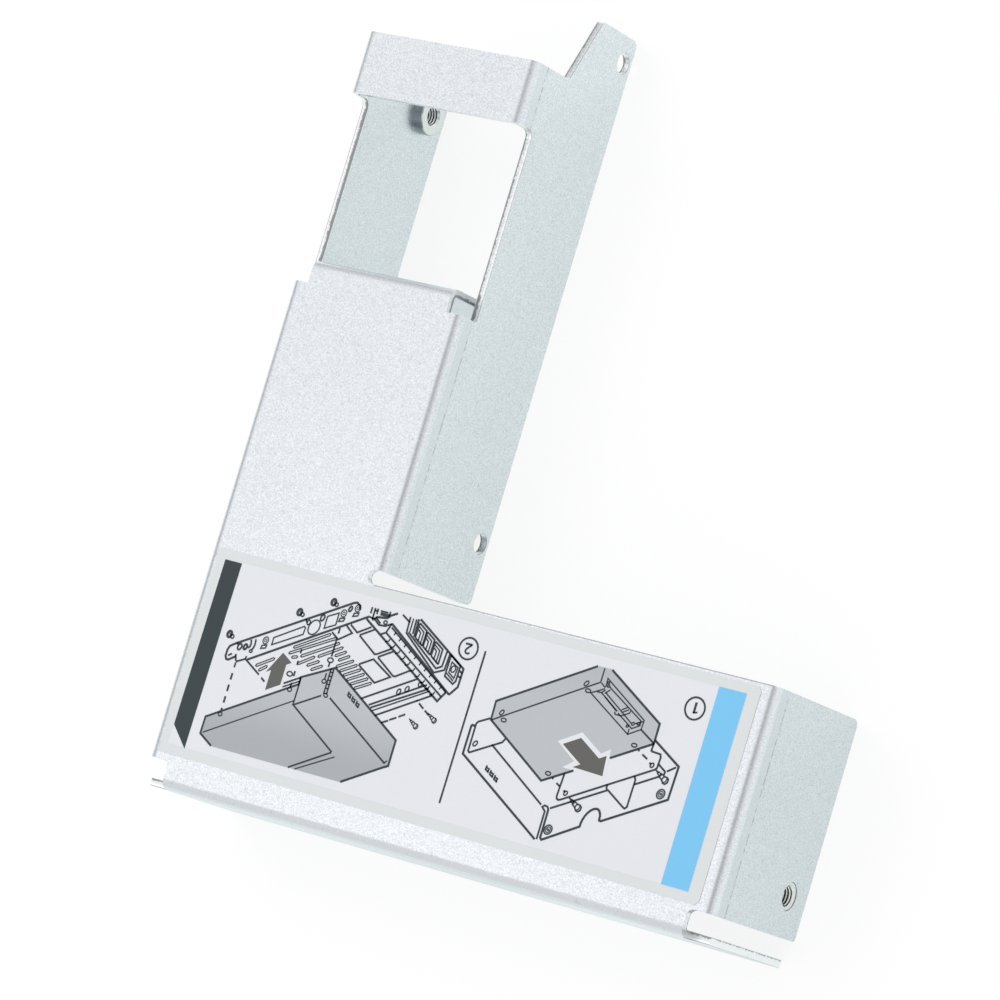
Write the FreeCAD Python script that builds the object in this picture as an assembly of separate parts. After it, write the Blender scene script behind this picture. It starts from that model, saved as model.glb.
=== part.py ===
import FreeCAD, Part
import math
import os

# Drive bay adapter bracket: one folded steel sheet with three self-clinching nuts and a printed label.
# Seen from above it is an L. The short leg lies along X at the front, the long leg along Y on the left, and
# the part stands on the free edges of its walls. Sizes are in millimetres. The sheet is drawn from the outer
# faces of its left wall (x = 0) and bottom wall (y = 0), and every piece is moved at the end so that the
# origin lies under the middle of the whole bracket, at the height of the free edges.

# Sheet
SHEET_THICKNESS = 1.2
BEND_INNER_RADIUS = 0.4
WALL_HEIGHT = 24.75
EDGE_ROUNDING = 0.5

# Plan of the L
OVERALL_WIDTH = 101.6
LONG_LEG_WIDTH = 31.65
LONG_LEG_LENGTH = 119.2
SHORT_LEG_DEPTH = 37.4

# Corner reliefs beside the bottom wall
RELIEF_DEPTH = 4.2
RELIEF_WIDTH_LEFT = 4.0
RELIEF_WIDTH_RIGHT = 4.1
RELIEF_FLOOR = 22.0
RELIEF_CORNER_RADIUS = 1.1
BOTTOM_WALL_SHORTFALL = 0.75
WALL_CORNER_RADIUS = 1.2

# Slot between the short leg and the right wall
SLOT_WIDTH = 2.3
SLOT_RUN_IN = 2.55

# Window across the long leg, with the bridge beyond it and the tongue folded down at its near side
WINDOW_LENGTH = 30.0
BRIDGE_WIDTH = 9.8
WINDOW_FLOOR = 20.2
WINDOW_FAR_RADIUS = 1.3
TONGUE_RELIEF_DEPTH = 3.8
TONGUE_LEFT_GAP = 3.1
TONGUE_RIGHT_GAP = 2.7
TONGUE_FOOT_GAP = 2.2
TONGUE_CORNER_RADIUS = 1.75

# Slanted tab at the far end of the right wall
TAB_REACH = 10.6
TAB_ROOT_HEIGHT = 15.0
TAB_SLOPE = 0.43
TAB_CORNER_RADIUS = 0.8

# Notch in the free edge of the left wall
NOTCH_WIDTH = 17.0
NOTCH_DEPTH = 10.8
NOTCH_CENTRE = 48.5
NOTCH_RADIUS = 7.5

# Screw holes for the drive, in the right wall: with these margins they are 76.6 apart, as on a 2.5 inch drive
DRIVE_HOLE_RADIUS = 1.7
DRIVE_HOLE_HEIGHT = 2.2
DRIVE_HOLE_SLOT_MARGIN = 9.4
DRIVE_HOLE_END_MARGIN = 4.1

# Self-clinching nuts, M3: with these margins the two side ones are 101.6 apart, as on a 3.5 inch drive
NUT_FRONT_MARGIN = 10.13
NUT_REAR_MARGIN = 7.47
NUT_HEIGHT = 5.25
NUT_BODY_RADIUS = 3.15
NUT_BODY_THICKNESS = 1.5
NUT_BODY_CHAMFER = 0.2
NUT_SHANK_RADIUS = 2.11
NUT_SHANK_LENGTH = 1.08
NUT_HOLE_CLEARANCE = 0.04
THREAD_RADIUS = 1.25
THREAD_MOUTH_RADIUS = 1.7

# Label, stuck on a little askew
LABEL_THICKNESS = 0.1
LABEL_LEFT_MARGIN = 1.7
LABEL_RIGHT_MARGIN = 2.6
LABEL_FRONT_MARGIN = 5.0
LABEL_BACK_MARGIN = 0.35
LABEL_CORNER_RADIUS = 1.0
LABEL_TURN_DEG = -0.25

# Print: a pale panel inside the label's border, and on it a dark pointed bar and a blue band at its ends
PANEL_THICKNESS = 0.04
PRINT_THICKNESS = 0.04
GREY_THICKNESS = 0.03
PANEL_INSET_FRONT = 1.55
PANEL_INSET_BACK = 1.5
PANEL_INSET_LEFT = 1.45
PANEL_INSET_RIGHT = 2.1
BAR_WIDTH = 3.2
BAR_POINT = 3.3
BAND_WIDTH = 4.6
LINE_WIDTH = 0.3
HALO_WIDTH = 0.35

# The drawings' room on the panel, between bar and band: on a smaller label they are drawn smaller
DRAWINGS_WIDTH = 85.9
DRAWINGS_DEPTH = 29.0

# Line between the two drawings and a ringed numeral beside each, placed from the middle of the label
DRAWING_DEPTH = 26.0
DIVIDER_PLACE = (2.25, -0.5)
DIVIDER_LENGTH = 23.0
RING_PLACES = ((39.1, 10.5), (-0.6, 10.7))
RING_RADIUS = 1.55
NUMERAL_HEIGHT = 1.5
NUMERAL_WIDTH = 0.4
BOW_START_DEG = 160
BOW_END_DEG = -50
BOW_STEP_DEG = 35

# First drawing: a slab that slides into a carrier with a notched side
DRAWING_SLANT_DEG = 29.5
SLAB_PLACE = (17.85, -5.0)
SLAB_LENGTH = 18.8
SLAB_WIDTH = 12.9
SLAB_RISE = 2.9
CARRIER_PLACE = (20.0, -13.2)
CARRIER_LENGTH = 21.9
CARRIER_WIDTH = 18.6
CARRIER_RISE = 4.6
CARRIER_NOTCH_PLACE = 7.15
CARRIER_NOTCH_WIDTH = 3.45
CARRIER_NOTCH_RISE = 1.9
NOTCH_STEP_DEG = 20
FLAP_LENGTH = 6.0
FLAP_INSET = 0.5

# Second drawing: the slab held in the corner of an L
CORNER_PLACE = (-22.35, -1.15)
CORNER_SHORT_LEG = 16.0
CORNER_LONG_LEG = 26.0
CORNER_LEG_DEPTH = 5.9
CORNER_LEG_WIDTH = 4.5
CORNER_RISE = 4.0
HELD_SLAB_LENGTH = 16.4
HELD_SLAB_RISE = 2.6
HELD_SLAB_LIFT = 0.75

# Arrows of the drawings: the place where the head begins, then width and length of the body and of the head
SLIDE_ARROW_PLACE = (24.9, -0.5)
SLIDE_ARROW_BODY = (3.1, 4.4)
SLIDE_ARROW_HEAD = (5.7, 3.16)
LOWER_ARROW_PLACE = (-31.8, 0.8)
LOWER_ARROW_BODY = (2.75, 3.1)
LOWER_ARROW_HEAD = (4.7, 2.3)

# Values that follow from the sizes above
BEND_OUTER_RADIUS = BEND_INNER_RADIUS + SHEET_THICKNESS
OVERALL_LENGTH = LONG_LEG_LENGTH + TAB_REACH
PLATE_UNDERSIDE = WALL_HEIGHT - SHEET_THICKNESS
WINDOW_FAR = LONG_LEG_LENGTH - BRIDGE_WIDTH
WINDOW_NEAR = WINDOW_FAR - WINDOW_LENGTH
RIGHT_WALL_INNER = LONG_LEG_WIDTH - SHEET_THICKNESS
FLANGE_INNER = OVERALL_WIDTH - SHEET_THICKNESS
REAR_NUT_Y = LONG_LEG_LENGTH - NUT_REAR_MARGIN
FRONT_NUT_Y = NUT_FRONT_MARGIN
FAR_DRIVE_HOLE_Y = OVERALL_LENGTH - DRIVE_HOLE_END_MARGIN
NEAR_DRIVE_HOLE_Y = SHORT_LEG_DEPTH + SLOT_WIDTH + DRIVE_HOLE_SLOT_MARGIN
PANEL_TOP = WALL_HEIGHT + LABEL_THICKNESS
PRINT_BASE = PANEL_TOP + PANEL_THICKNESS
TO_ORIGIN = FreeCAD.Vector(-OVERALL_WIDTH / 2, -OVERALL_LENGTH / 2, 0)

X_AXIS = FreeCAD.Vector(1, 0, 0)
Y_AXIS = FreeCAD.Vector(0, 1, 0)
Z_AXIS = FreeCAD.Vector(0, 0, 1)

# How far a cutting shape runs on past the sheet it cuts
BEYOND = 2 * SHEET_THICKNESS


def outline(corners):
    """A closed wire through corners given as (point, radius); a radius above zero rounds that corner."""
    edges = []
    ends = []
    for index, (corner, radius) in enumerate(corners):
        if radius <= 0:
            ends.append((corner, corner))
            continue
        before = (corners[index - 1][0] - corner).normalize()
        after = (corners[(index + 1) % len(corners)][0] - corner).normalize()
        half_angle = before.getAngle(after) / 2
        reach = radius / math.tan(half_angle)
        middle = (before + after).normalize()
        start = corner + before * reach
        end = corner + after * reach
        crown = corner + middle * (radius / math.sin(half_angle) - radius)
        edges.append(Part.Arc(start, crown, end).toShape())
        ends.append((start, end))
    for index, (start, end) in enumerate(ends):
        following = ends[(index + 1) % len(ends)][0]
        if (following - end).Length > 1e-6:
            edges.append(Part.makeLine(end, following))
    return Part.Wire(Part.__sortEdges__(edges))


def across(corners, start, end):
    """A prism along X from start to end, whose outline is given as (y, z, radius)."""
    points = [(FreeCAD.Vector(start, y, z), radius) for y, z, radius in corners]
    return Part.Face(outline(points)).extrude(X_AXIS * (end - start))


def along(corners, start, end):
    """A prism along Y from start to end, whose outline is given as (x, z, radius)."""
    points = [(FreeCAD.Vector(x, start, z), radius) for x, z, radius in corners]
    return Part.Face(outline(points)).extrude(Y_AXIS * (end - start))


def upright(corners, start, end):
    """A prism along Z from start to end, whose outline is given as (x, y, radius)."""
    points = [(FreeCAD.Vector(x, y, start), radius) for x, y, radius in corners]
    return Part.Face(outline(points)).extrude(Z_AXIS * (end - start))


def channel(width, start, end):
    """A stretch of sheet folded down at both sides: a wall, the plate and a wall again."""
    corners = [
        (0, 0, 0),
        (0, WALL_HEIGHT, BEND_OUTER_RADIUS),
        (width, WALL_HEIGHT, BEND_OUTER_RADIUS),
        (width, 0, 0),
        (width - SHEET_THICKNESS, 0, 0),
        (width - SHEET_THICKNESS, PLATE_UNDERSIDE, BEND_INNER_RADIUS),
        (SHEET_THICKNESS, PLATE_UNDERSIDE, BEND_INNER_RADIUS),
        (SHEET_THICKNESS, 0, 0),
    ]
    return along(corners, start, end)


def bottom_wall():
    """The front wall, with its bend and the strip of plate behind it as far as the walls at its two sides."""
    corners = [
        (0, 0, 0),
        (0, WALL_HEIGHT, BEND_OUTER_RADIUS),
        (RELIEF_DEPTH, WALL_HEIGHT, 0),
        (RELIEF_DEPTH, PLATE_UNDERSIDE, 0),
        (SHEET_THICKNESS, PLATE_UNDERSIDE, BEND_INNER_RADIUS),
        (SHEET_THICKNESS, 0, 0),
    ]
    length = OVERALL_WIDTH - BOTTOM_WALL_SHORTFALL
    blank = [
        (0, 0, WALL_CORNER_RADIUS),
        (0, WALL_HEIGHT, 0),
        (length, WALL_HEIGHT, 0),
        (length, 0, WALL_CORNER_RADIUS),
    ]
    return across(corners, 0, length).common(along(blank, 0, RELIEF_DEPTH))


def corner_reliefs():
    """The cut-outs at the two front corners of the plate, open to the front and to the sides."""
    left = [
        (-BEYOND, -BEYOND, 0),
        (RELIEF_WIDTH_LEFT, -BEYOND, 0),
        (RELIEF_WIDTH_LEFT, RELIEF_DEPTH, EDGE_ROUNDING),
        (-BEYOND, RELIEF_DEPTH, 0),
    ]
    right_edge = OVERALL_WIDTH + BEYOND
    relief_edge = OVERALL_WIDTH - RELIEF_WIDTH_RIGHT
    right = [
        (relief_edge, -BEYOND, 0),
        (right_edge, -BEYOND, 0),
        (right_edge, RELIEF_DEPTH, 0),
        (relief_edge, RELIEF_DEPTH, RELIEF_CORNER_RADIUS),
    ]
    top = WALL_HEIGHT + BEYOND
    return [upright(left, RELIEF_FLOOR, top), upright(right, RELIEF_FLOOR, top)]


def slot():
    """The slot that parts the right wall from the short leg, open to the right, with a round end."""
    radius = SLOT_WIDTH / 2
    height = WALL_HEIGHT + 2 * BEYOND
    end_middle = LONG_LEG_WIDTH - SLOT_RUN_IN + radius
    centre = FreeCAD.Vector(end_middle, SHORT_LEG_DEPTH + radius, -BEYOND)
    round_end = Part.makeCylinder(radius, height, centre)
    corner = FreeCAD.Vector(end_middle, SHORT_LEG_DEPTH, -BEYOND)
    run = Part.makeBox(SLOT_RUN_IN + BEYOND, SLOT_WIDTH, height, corner)
    return run.fuse(round_end).removeSplitter()


def window():
    """The window cut through the plate and down into both walls."""
    corners = [
        (WINDOW_NEAR, WINDOW_FLOOR, EDGE_ROUNDING),
        (WINDOW_FAR, WINDOW_FLOOR, WINDOW_FAR_RADIUS),
        (WINDOW_FAR, WALL_HEIGHT + BEYOND, 0),
        (WINDOW_NEAR, WALL_HEIGHT + BEYOND, 0),
    ]
    return across(corners, -BEYOND, LONG_LEG_WIDTH + BEYOND)


def tongue():
    """The tongue of the plate, folded down at the near side of the window into a wall across the leg."""
    outer = WINDOW_NEAR + TONGUE_RELIEF_DEPTH
    left = TONGUE_LEFT_GAP
    right = LONG_LEG_WIDTH - TONGUE_RIGHT_GAP
    section = [
        (WINDOW_NEAR, WALL_HEIGHT, 0),
        (outer, WALL_HEIGHT, BEND_OUTER_RADIUS),
        (outer, TONGUE_FOOT_GAP, 0),
        (outer - SHEET_THICKNESS, TONGUE_FOOT_GAP, 0),
        (outer - SHEET_THICKNESS, PLATE_UNDERSIDE, BEND_INNER_RADIUS),
        (WINDOW_NEAR, PLATE_UNDERSIDE, 0),
    ]
    blank = [
        (left, TONGUE_FOOT_GAP, TONGUE_CORNER_RADIUS),
        (left, WALL_HEIGHT, 0),
        (right, WALL_HEIGHT, 0),
        (right, TONGUE_FOOT_GAP, TONGUE_CORNER_RADIUS),
    ]
    return across(section, left, right).common(along(blank, WINDOW_NEAR, outer))


def tab():
    """The end of the right wall, which runs on past the bridge and slants down to its tip."""
    tip_height = TAB_ROOT_HEIGHT - TAB_SLOPE * TAB_REACH
    root = WINDOW_FAR + BRIDGE_WIDTH / 2
    bend_start = WALL_HEIGHT - BEND_OUTER_RADIUS
    corners = [
        (root, 0, 0),
        (OVERALL_LENGTH, 0, WALL_CORNER_RADIUS),
        (OVERALL_LENGTH, tip_height, TAB_CORNER_RADIUS),
        (LONG_LEG_LENGTH, TAB_ROOT_HEIGHT, TAB_CORNER_RADIUS),
        (LONG_LEG_LENGTH, bend_start, 0),
        (root, bend_start, 0),
    ]
    return across(corners, RIGHT_WALL_INNER, LONG_LEG_WIDTH)


def notch():
    """The rounded notch in the free edge of the left wall."""
    near = NOTCH_CENTRE - NOTCH_WIDTH / 2
    far = NOTCH_CENTRE + NOTCH_WIDTH / 2
    corners = [
        (near, -BEYOND, 0),
        (far, -BEYOND, 0),
        (far, NOTCH_DEPTH, NOTCH_RADIUS),
        (near, NOTCH_DEPTH, NOTCH_RADIUS),
    ]
    return across(corners, -BEYOND, BEYOND)


def cross_hole(radius, x, y, z):
    """A round hole along X through the wall whose middle lies at x."""
    start = FreeCAD.Vector(x - BEYOND, y, z)
    return Part.makeCylinder(radius, 2 * BEYOND, start, X_AXIS)


def wall_corners(start, end, near, far, radius_near, radius_far):
    """The waste outside the rounded free corners of a wall that runs along Y between near and far."""
    waste = []
    for y, inwards, radius in ((near, 1, radius_near), (far, -1, radius_far)):
        low = min(y, y + inwards * radius)
        block = Part.makeBox(end - start, radius, radius, FreeCAD.Vector(start, low, 0))
        centre = FreeCAD.Vector(start, y + inwards * radius, radius)
        waste.append(block.cut(Part.makeCylinder(radius, end - start, centre, X_AXIS)))
    return waste


def bracket():
    """The folded sheet: both legs, the bottom wall, the tongue and the tab, with every hole and cut-out."""
    long_leg = channel(LONG_LEG_WIDTH, SHORT_LEG_DEPTH, LONG_LEG_LENGTH)
    short_leg = channel(OVERALL_WIDTH, RELIEF_DEPTH, SHORT_LEG_DEPTH)
    sheet = long_leg.fuse([short_leg, bottom_wall()])
    sheet = sheet.cut([window(), slot(), notch(), *corner_reliefs()])
    sheet = sheet.fuse([tongue(), tab()]).removeSplitter()
    nut_hole_radius = NUT_SHANK_RADIUS + NUT_HOLE_CLEARANCE
    holes = [
        cross_hole(nut_hole_radius, SHEET_THICKNESS / 2, FRONT_NUT_Y, NUT_HEIGHT),
        cross_hole(nut_hole_radius, SHEET_THICKNESS / 2, REAR_NUT_Y, NUT_HEIGHT),
        cross_hole(nut_hole_radius, OVERALL_WIDTH - SHEET_THICKNESS / 2, FRONT_NUT_Y, NUT_HEIGHT),
        cross_hole(DRIVE_HOLE_RADIUS, LONG_LEG_WIDTH, NEAR_DRIVE_HOLE_Y, DRIVE_HOLE_HEIGHT),
        cross_hole(DRIVE_HOLE_RADIUS, LONG_LEG_WIDTH, FAR_DRIVE_HOLE_Y, DRIVE_HOLE_HEIGHT),
    ]
    flange_ends = wall_corners(
        FLANGE_INNER, OVERALL_WIDTH, RELIEF_DEPTH, SHORT_LEG_DEPTH, EDGE_ROUNDING, WALL_CORNER_RADIUS
    )
    left_ends = wall_corners(
        0, SHEET_THICKNESS, RELIEF_DEPTH, LONG_LEG_LENGTH, EDGE_ROUNDING, WALL_CORNER_RADIUS
    )
    slot_end = wall_corners(
        RIGHT_WALL_INNER,
        LONG_LEG_WIDTH,
        SHORT_LEG_DEPTH + SLOT_WIDTH,
        LONG_LEG_LENGTH,
        WALL_CORNER_RADIUS,
        EDGE_ROUNDING,
    )[:1]
    return sheet.cut(holes + flange_ends + left_ends + slot_end)


def clinch_nut(wall_outer_face, inwards, y):
    """A nut pressed into a wall: its shank fills the hole and its body lies on the wall's inner face."""
    shank_end = SHEET_THICKNESS - NUT_SHANK_LENGTH
    back = SHEET_THICKNESS + NUT_BODY_THICKNESS
    mouth = THREAD_MOUTH_RADIUS - THREAD_RADIUS
    profile = [
        (shank_end, THREAD_MOUTH_RADIUS),
        (shank_end, NUT_SHANK_RADIUS),
        (SHEET_THICKNESS, NUT_SHANK_RADIUS),
        (SHEET_THICKNESS, NUT_BODY_RADIUS),
        (back - NUT_BODY_CHAMFER, NUT_BODY_RADIUS),
        (back, NUT_BODY_RADIUS - NUT_BODY_CHAMFER),
        (back, THREAD_MOUTH_RADIUS),
        (back - mouth, THREAD_RADIUS),
        (shank_end + mouth, THREAD_RADIUS),
    ]
    corners = [(FreeCAD.Vector(inwards * depth, radius, 0), 0) for depth, radius in profile]
    nut = Part.Face(outline(corners)).revolve(FreeCAD.Vector(0, 0, 0), X_AXIS, 360)
    nut.translate(FreeCAD.Vector(wall_outer_face, y, NUT_HEIGHT))
    return nut


def label_size():
    """The label's width and depth, and the place of its middle on the plate."""
    right = OVERALL_WIDTH - LABEL_RIGHT_MARGIN
    back = SHORT_LEG_DEPTH - LABEL_BACK_MARGIN
    middle = FreeCAD.Vector((LABEL_LEFT_MARGIN + right) / 2, (LABEL_FRONT_MARGIN + back) / 2, 0)
    return right - LABEL_LEFT_MARGIN, back - LABEL_FRONT_MARGIN, middle


def on_label(shape):
    """A piece drawn about the label's middle, turned as the label is and moved to its place."""
    placed = shape.copy()
    placed.rotate(FreeCAD.Vector(0, 0, 0), Z_AXIS, LABEL_TURN_DEG)
    placed.translate(label_size()[2])
    return placed


def label():
    """The label's paper, square at the left and rounded at its two right corners."""
    width, depth, _ = label_size()
    corners = [
        (-width / 2, -depth / 2, 0),
        (width / 2, -depth / 2, LABEL_CORNER_RADIUS),
        (width / 2, depth / 2, LABEL_CORNER_RADIUS),
        (-width / 2, depth / 2, 0),
    ]
    return on_label(upright(corners, WALL_HEIGHT, PANEL_TOP))


def area(points):
    """A flat area at the height of the print, through points given as (x, y) from the label's middle."""
    following = points[1:] + points[:1]
    turning = sum(a[0] * b[1] - b[0] * a[1] for a, b in zip(points, following))
    round_left = points if turning > 0 else points[::-1]
    return Part.Face(outline([(FreeCAD.Vector(x, y, PRINT_BASE), 0) for x, y in round_left]))


def panel_edges():
    """The left, right, front and back edges of the pale panel, from the label's middle."""
    width, depth, _ = label_size()
    left = PANEL_INSET_LEFT - width / 2
    right = width / 2 - PANEL_INSET_RIGHT
    return left, right, PANEL_INSET_FRONT - depth / 2, depth / 2 - PANEL_INSET_BACK


def label_panel():
    """The pale printed panel inside the label's darker border."""
    left, right, front, back = panel_edges()
    corners = [(left, front, 0), (right, front, 0), (right, back, 0), (left, back, 0)]
    return on_label(upright(corners, PANEL_TOP, PRINT_BASE))


def drawing_scale():
    """How large the drawings are printed: full size, or less where the panel hasn't room for that."""
    left, right, front, back = panel_edges()
    room = right - BAND_WIDTH - left - BAR_WIDTH
    return min(1, room / DRAWINGS_WIDTH, (back - front) / DRAWINGS_DEPTH)


def printed(areas, thickness=PRINT_THICKNESS):
    """Flat areas as one layer of print on the panel."""
    faces = [face for shape in areas for face in shape.Faces]
    return on_label(Part.Compound([face.extrude(Z_AXIS * thickness) for face in faces]))


def to_scale(shape):
    """A drawing's area at the size that the panel has room for."""
    drawing = shape.copy()
    drawing.scale(drawing_scale(), FreeCAD.Vector(0, 0, PRINT_BASE))
    return drawing


def blue_band():
    """The band at the right end of the panel."""
    _, right, front, back = panel_edges()
    return area([(right - BAND_WIDTH, front), (right, front), (right, back), (right - BAND_WIDTH, back)])


def pointed_bar():
    """The dark bar at the left end of the panel, cut to a point at its front end."""
    left, _, front, back = panel_edges()
    right = left + BAR_WIDTH
    return area([(left, front + BAR_POINT), (right, front), (right, back), (left, back)])


def drawn(place, right, left, rise=0.0, slant=DRAWING_SLANT_DEG):
    """A point of a drawing: so far to the right and to the left along its slants, and up, from a place."""
    angle = math.radians(slant)
    x = place[0] + (right - left) * math.cos(angle)
    y = place[1] + (right + left) * math.sin(angle) + rise
    return x, y


def in_frame(shape):
    """What of an area lies in the frame that both drawings are cropped to."""
    width, _, _ = label_size()
    edge = DRAWING_DEPTH / 2
    frame = area([(-width / 2, -edge), (width / 2, -edge), (width / 2, edge), (-width / 2, edge)])
    return shape.common(frame)


def widened(areas):
    """Areas as one, wider all round by half a line."""
    outer = [shape.makeOffset2D(LINE_WIDTH / 2, 0) for shape in areas]
    return outer[0].fuse(outer[1:]).removeSplitter()


def line_work(areas):
    """The lines round and between the areas of a drawing, and the areas themselves inside those lines."""
    inner = [shape.makeOffset2D(-LINE_WIDTH / 2, 2) for shape in areas]
    return in_frame(widened(areas).cut(inner)), [in_frame(shape) for shape in inner]


def slab_drawing():
    """The slab of the first drawing: its top and the two sides that show."""
    length, width, rise = SLAB_LENGTH, SLAB_WIDTH, SLAB_RISE
    near = drawn(SLAB_PLACE, 0, 0)
    right = drawn(SLAB_PLACE, length, 0)
    far = drawn(SLAB_PLACE, length, width)
    left = drawn(SLAB_PLACE, 0, width)
    right_up = drawn(SLAB_PLACE, length, 0, rise)
    far_up = drawn(SLAB_PLACE, length, width, rise)
    left_up = drawn(SLAB_PLACE, 0, width, rise)
    return [
        area([near, right, far, left]),
        area([right, right_up, far_up, far]),
        area([far, far_up, left_up, left]),
    ]


def carrier_drawing():
    """The two outer walls of the carrier in the first drawing, the right one with its arched notch."""
    place, rise = CARRIER_PLACE, CARRIER_RISE
    corner = drawn(place, 0, 0)
    corner_up = drawn(place, 0, 0, rise)
    half = CARRIER_NOTCH_WIDTH / 2
    middle = CARRIER_NOTCH_PLACE + half
    arch = [math.radians(degrees) for degrees in range(0, 181, NOTCH_STEP_DEG)]
    notch_points = [
        drawn(place, middle - half * math.cos(turn), 0, CARRIER_NOTCH_RISE * math.sin(turn)) for turn in arch
    ]
    right = drawn(place, CARRIER_LENGTH, 0)
    right_up = drawn(place, CARRIER_LENGTH, 0, rise)
    left = drawn(place, 0, CARRIER_WIDTH)
    left_up = drawn(place, 0, CARRIER_WIDTH, rise)
    right_wall = area([corner, *notch_points, right, right_up, corner_up])
    left_wall = area([corner, corner_up, left_up, left])
    return [right_wall, left_wall]


def flap_drawing():
    """The flap at the far end of the carrier's left wall, which hides part of that wall's upper edge."""
    low = drawn(CARRIER_PLACE, 0, CARRIER_WIDTH - FLAP_INSET, FLAP_INSET)
    reach = drawn((0, 0), FLAP_LENGTH, 0)
    low_end = (low[0] + reach[0], low[1] + reach[1])
    high, high_end = (low[0], low[1] + CARRIER_RISE), (low_end[0], low_end[1] + CARRIER_RISE)
    return [area([low, low_end, high_end, high])]


def corner_drawing():
    """The L of the second drawing with its two walls, and the slab held in its corner."""
    place = CORNER_PLACE
    short, long, depth, rise = CORNER_SHORT_LEG, CORNER_LONG_LEG, CORNER_LEG_DEPTH, CORNER_RISE
    inside = short - CORNER_LEG_WIDTH

    def point(right, left, up=0.0):
        return drawn(place, -left, -right, up)

    top = area(
        [
            point(0, 0),
            point(short, 0),
            point(short, long),
            point(inside, long),
            point(inside, depth),
            point(0, depth),
        ]
    )
    front_wall = area([point(0, 0), point(short, 0), point(short, 0, rise), point(0, 0, rise)])
    end_wall = area([point(0, 0), point(0, 0, rise), point(0, depth, rise), point(0, depth)])
    end = depth + HELD_SLAB_LENGTH
    lift = HELD_SLAB_LIFT
    slab_top = area(
        [
            point(0, depth, lift),
            point(0, depth),
            point(inside, depth),
            point(inside, end),
            point(0, end, lift),
        ]
    )
    slab_side = area(
        [
            point(0, depth, lift),
            point(0, end, lift),
            point(0, end, lift + HELD_SLAB_RISE),
            point(0, depth, lift + HELD_SLAB_RISE),
        ]
    )
    return [top, front_wall, end_wall, slab_top, slab_side]


def arrow(place, body, head, direction, sideways):
    """A broad arrow in the plane of a drawing; it points along direction and is wide along sideways."""
    body_width, body_length = body
    head_width, head_length = head
    base = FreeCAD.Vector(place[0], place[1], 0)
    steps = [
        (-body_length, -body_width / 2),
        (0, -body_width / 2),
        (0, -head_width / 2),
        (head_length, 0),
        (0, head_width / 2),
        (0, body_width / 2),
        (-body_length, body_width / 2),
    ]
    points = [base + direction * ahead + sideways * aside for ahead, aside in steps]
    return area([(point.x, point.y) for point in points])


def ring(place):
    """A ring round a numeral."""
    middle = FreeCAD.Vector(place[0], place[1], PRINT_BASE)
    outer = Part.Face(Part.Wire(Part.makeCircle(RING_RADIUS + LINE_WIDTH / 2, middle, Z_AXIS)))
    inner = Part.Face(Part.Wire(Part.makeCircle(RING_RADIUS - LINE_WIDTH / 2, middle, Z_AXIS)))
    return outer.cut(inner)


def stroke(points, place):
    """A line of even width through points given about a place, read from the other side of the label."""
    path = [FreeCAD.Vector(place[0] - x, place[1] - y, PRINT_BASE) for x, y in points]
    return Part.makePolygon(path).makeOffset2D(NUMERAL_WIDTH / 2, 2, True)


def numerals():
    """The numerals 1 and 2 in their rings."""
    half = NUMERAL_HEIGHT / 2
    bow = NUMERAL_HEIGHT / 4
    one = [(-bow, bow), (0, half), (0, -half)]
    turn = [math.radians(degrees) for degrees in range(BOW_START_DEG, BOW_END_DEG, -BOW_STEP_DEG)]
    two = [(bow * math.cos(angle), half - bow + bow * math.sin(angle)) for angle in turn]
    two = two + [(-bow, -half), (bow, -half)]
    return [stroke(one, RING_PLACES[0]), stroke(two, RING_PLACES[1])]


def divider():
    """The line between the two drawings."""
    x, y = DIVIDER_PLACE
    side = LINE_WIDTH / 2
    end = DIVIDER_LENGTH / 2
    return area([(x - side, y - end), (x + side, y - end), (x + side, y + end), (x - side, y + end)])


def label_print():
    """Every printed layer by its node's name: the blue band, the arrows, the grey areas and the dark ones."""
    angle = math.radians(DRAWING_SLANT_DEG)
    up_right = FreeCAD.Vector(math.cos(angle), math.sin(angle), 0)
    down_right = FreeCAD.Vector(math.cos(angle), -math.sin(angle), 0)
    arrows = [
        arrow(SLIDE_ARROW_PLACE, SLIDE_ARROW_BODY, SLIDE_ARROW_HEAD, down_right, up_right),
        arrow(LOWER_ARROW_PLACE, LOWER_ARROW_BODY, LOWER_ARROW_HEAD, Y_AXIS, up_right),
    ]
    halos = [shape.makeOffset2D(HALO_WIDTH, 2) for shape in arrows]
    slab_lines, slab_areas = line_work(slab_drawing())
    corner_lines, corner_areas = line_work(corner_drawing())
    carrier_lines, _ = line_work(carrier_drawing())
    flap_lines, _ = line_work(flap_drawing())
    over_flap = widened(slab_drawing())
    over_carrier = over_flap.fuse(widened(flap_drawing()))
    dark = [slab_lines, corner_lines, flap_lines.cut(over_flap), carrier_lines.cut(over_carrier)]
    dark = [shape.cut(halos) for shape in dark]
    dark = dark + [divider(), *map(ring, RING_PLACES), *numerals()]
    grey = [shape.cut(halos) for shape in slab_areas + corner_areas]
    return {
        "label_print_blue": printed([blue_band()]),
        "label_print_arrows": printed(map(to_scale, arrows)),
        "label_print_grey": printed(map(to_scale, grey), GREY_THICKNESS),
        "label_print_dark": printed([pointed_bar(), *map(to_scale, dark)]),
    }


def save(shape, node):
    """Moves a piece to the common origin and writes it under its node's name."""
    piece = shape.copy()
    piece.translate(TO_ORIGIN)
    piece.exportStep("parts/" + node + ".step")
    print(node, "solids", len(piece.Solids), "volume", round(piece.Volume, 3), "valid", piece.isValid())


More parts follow.
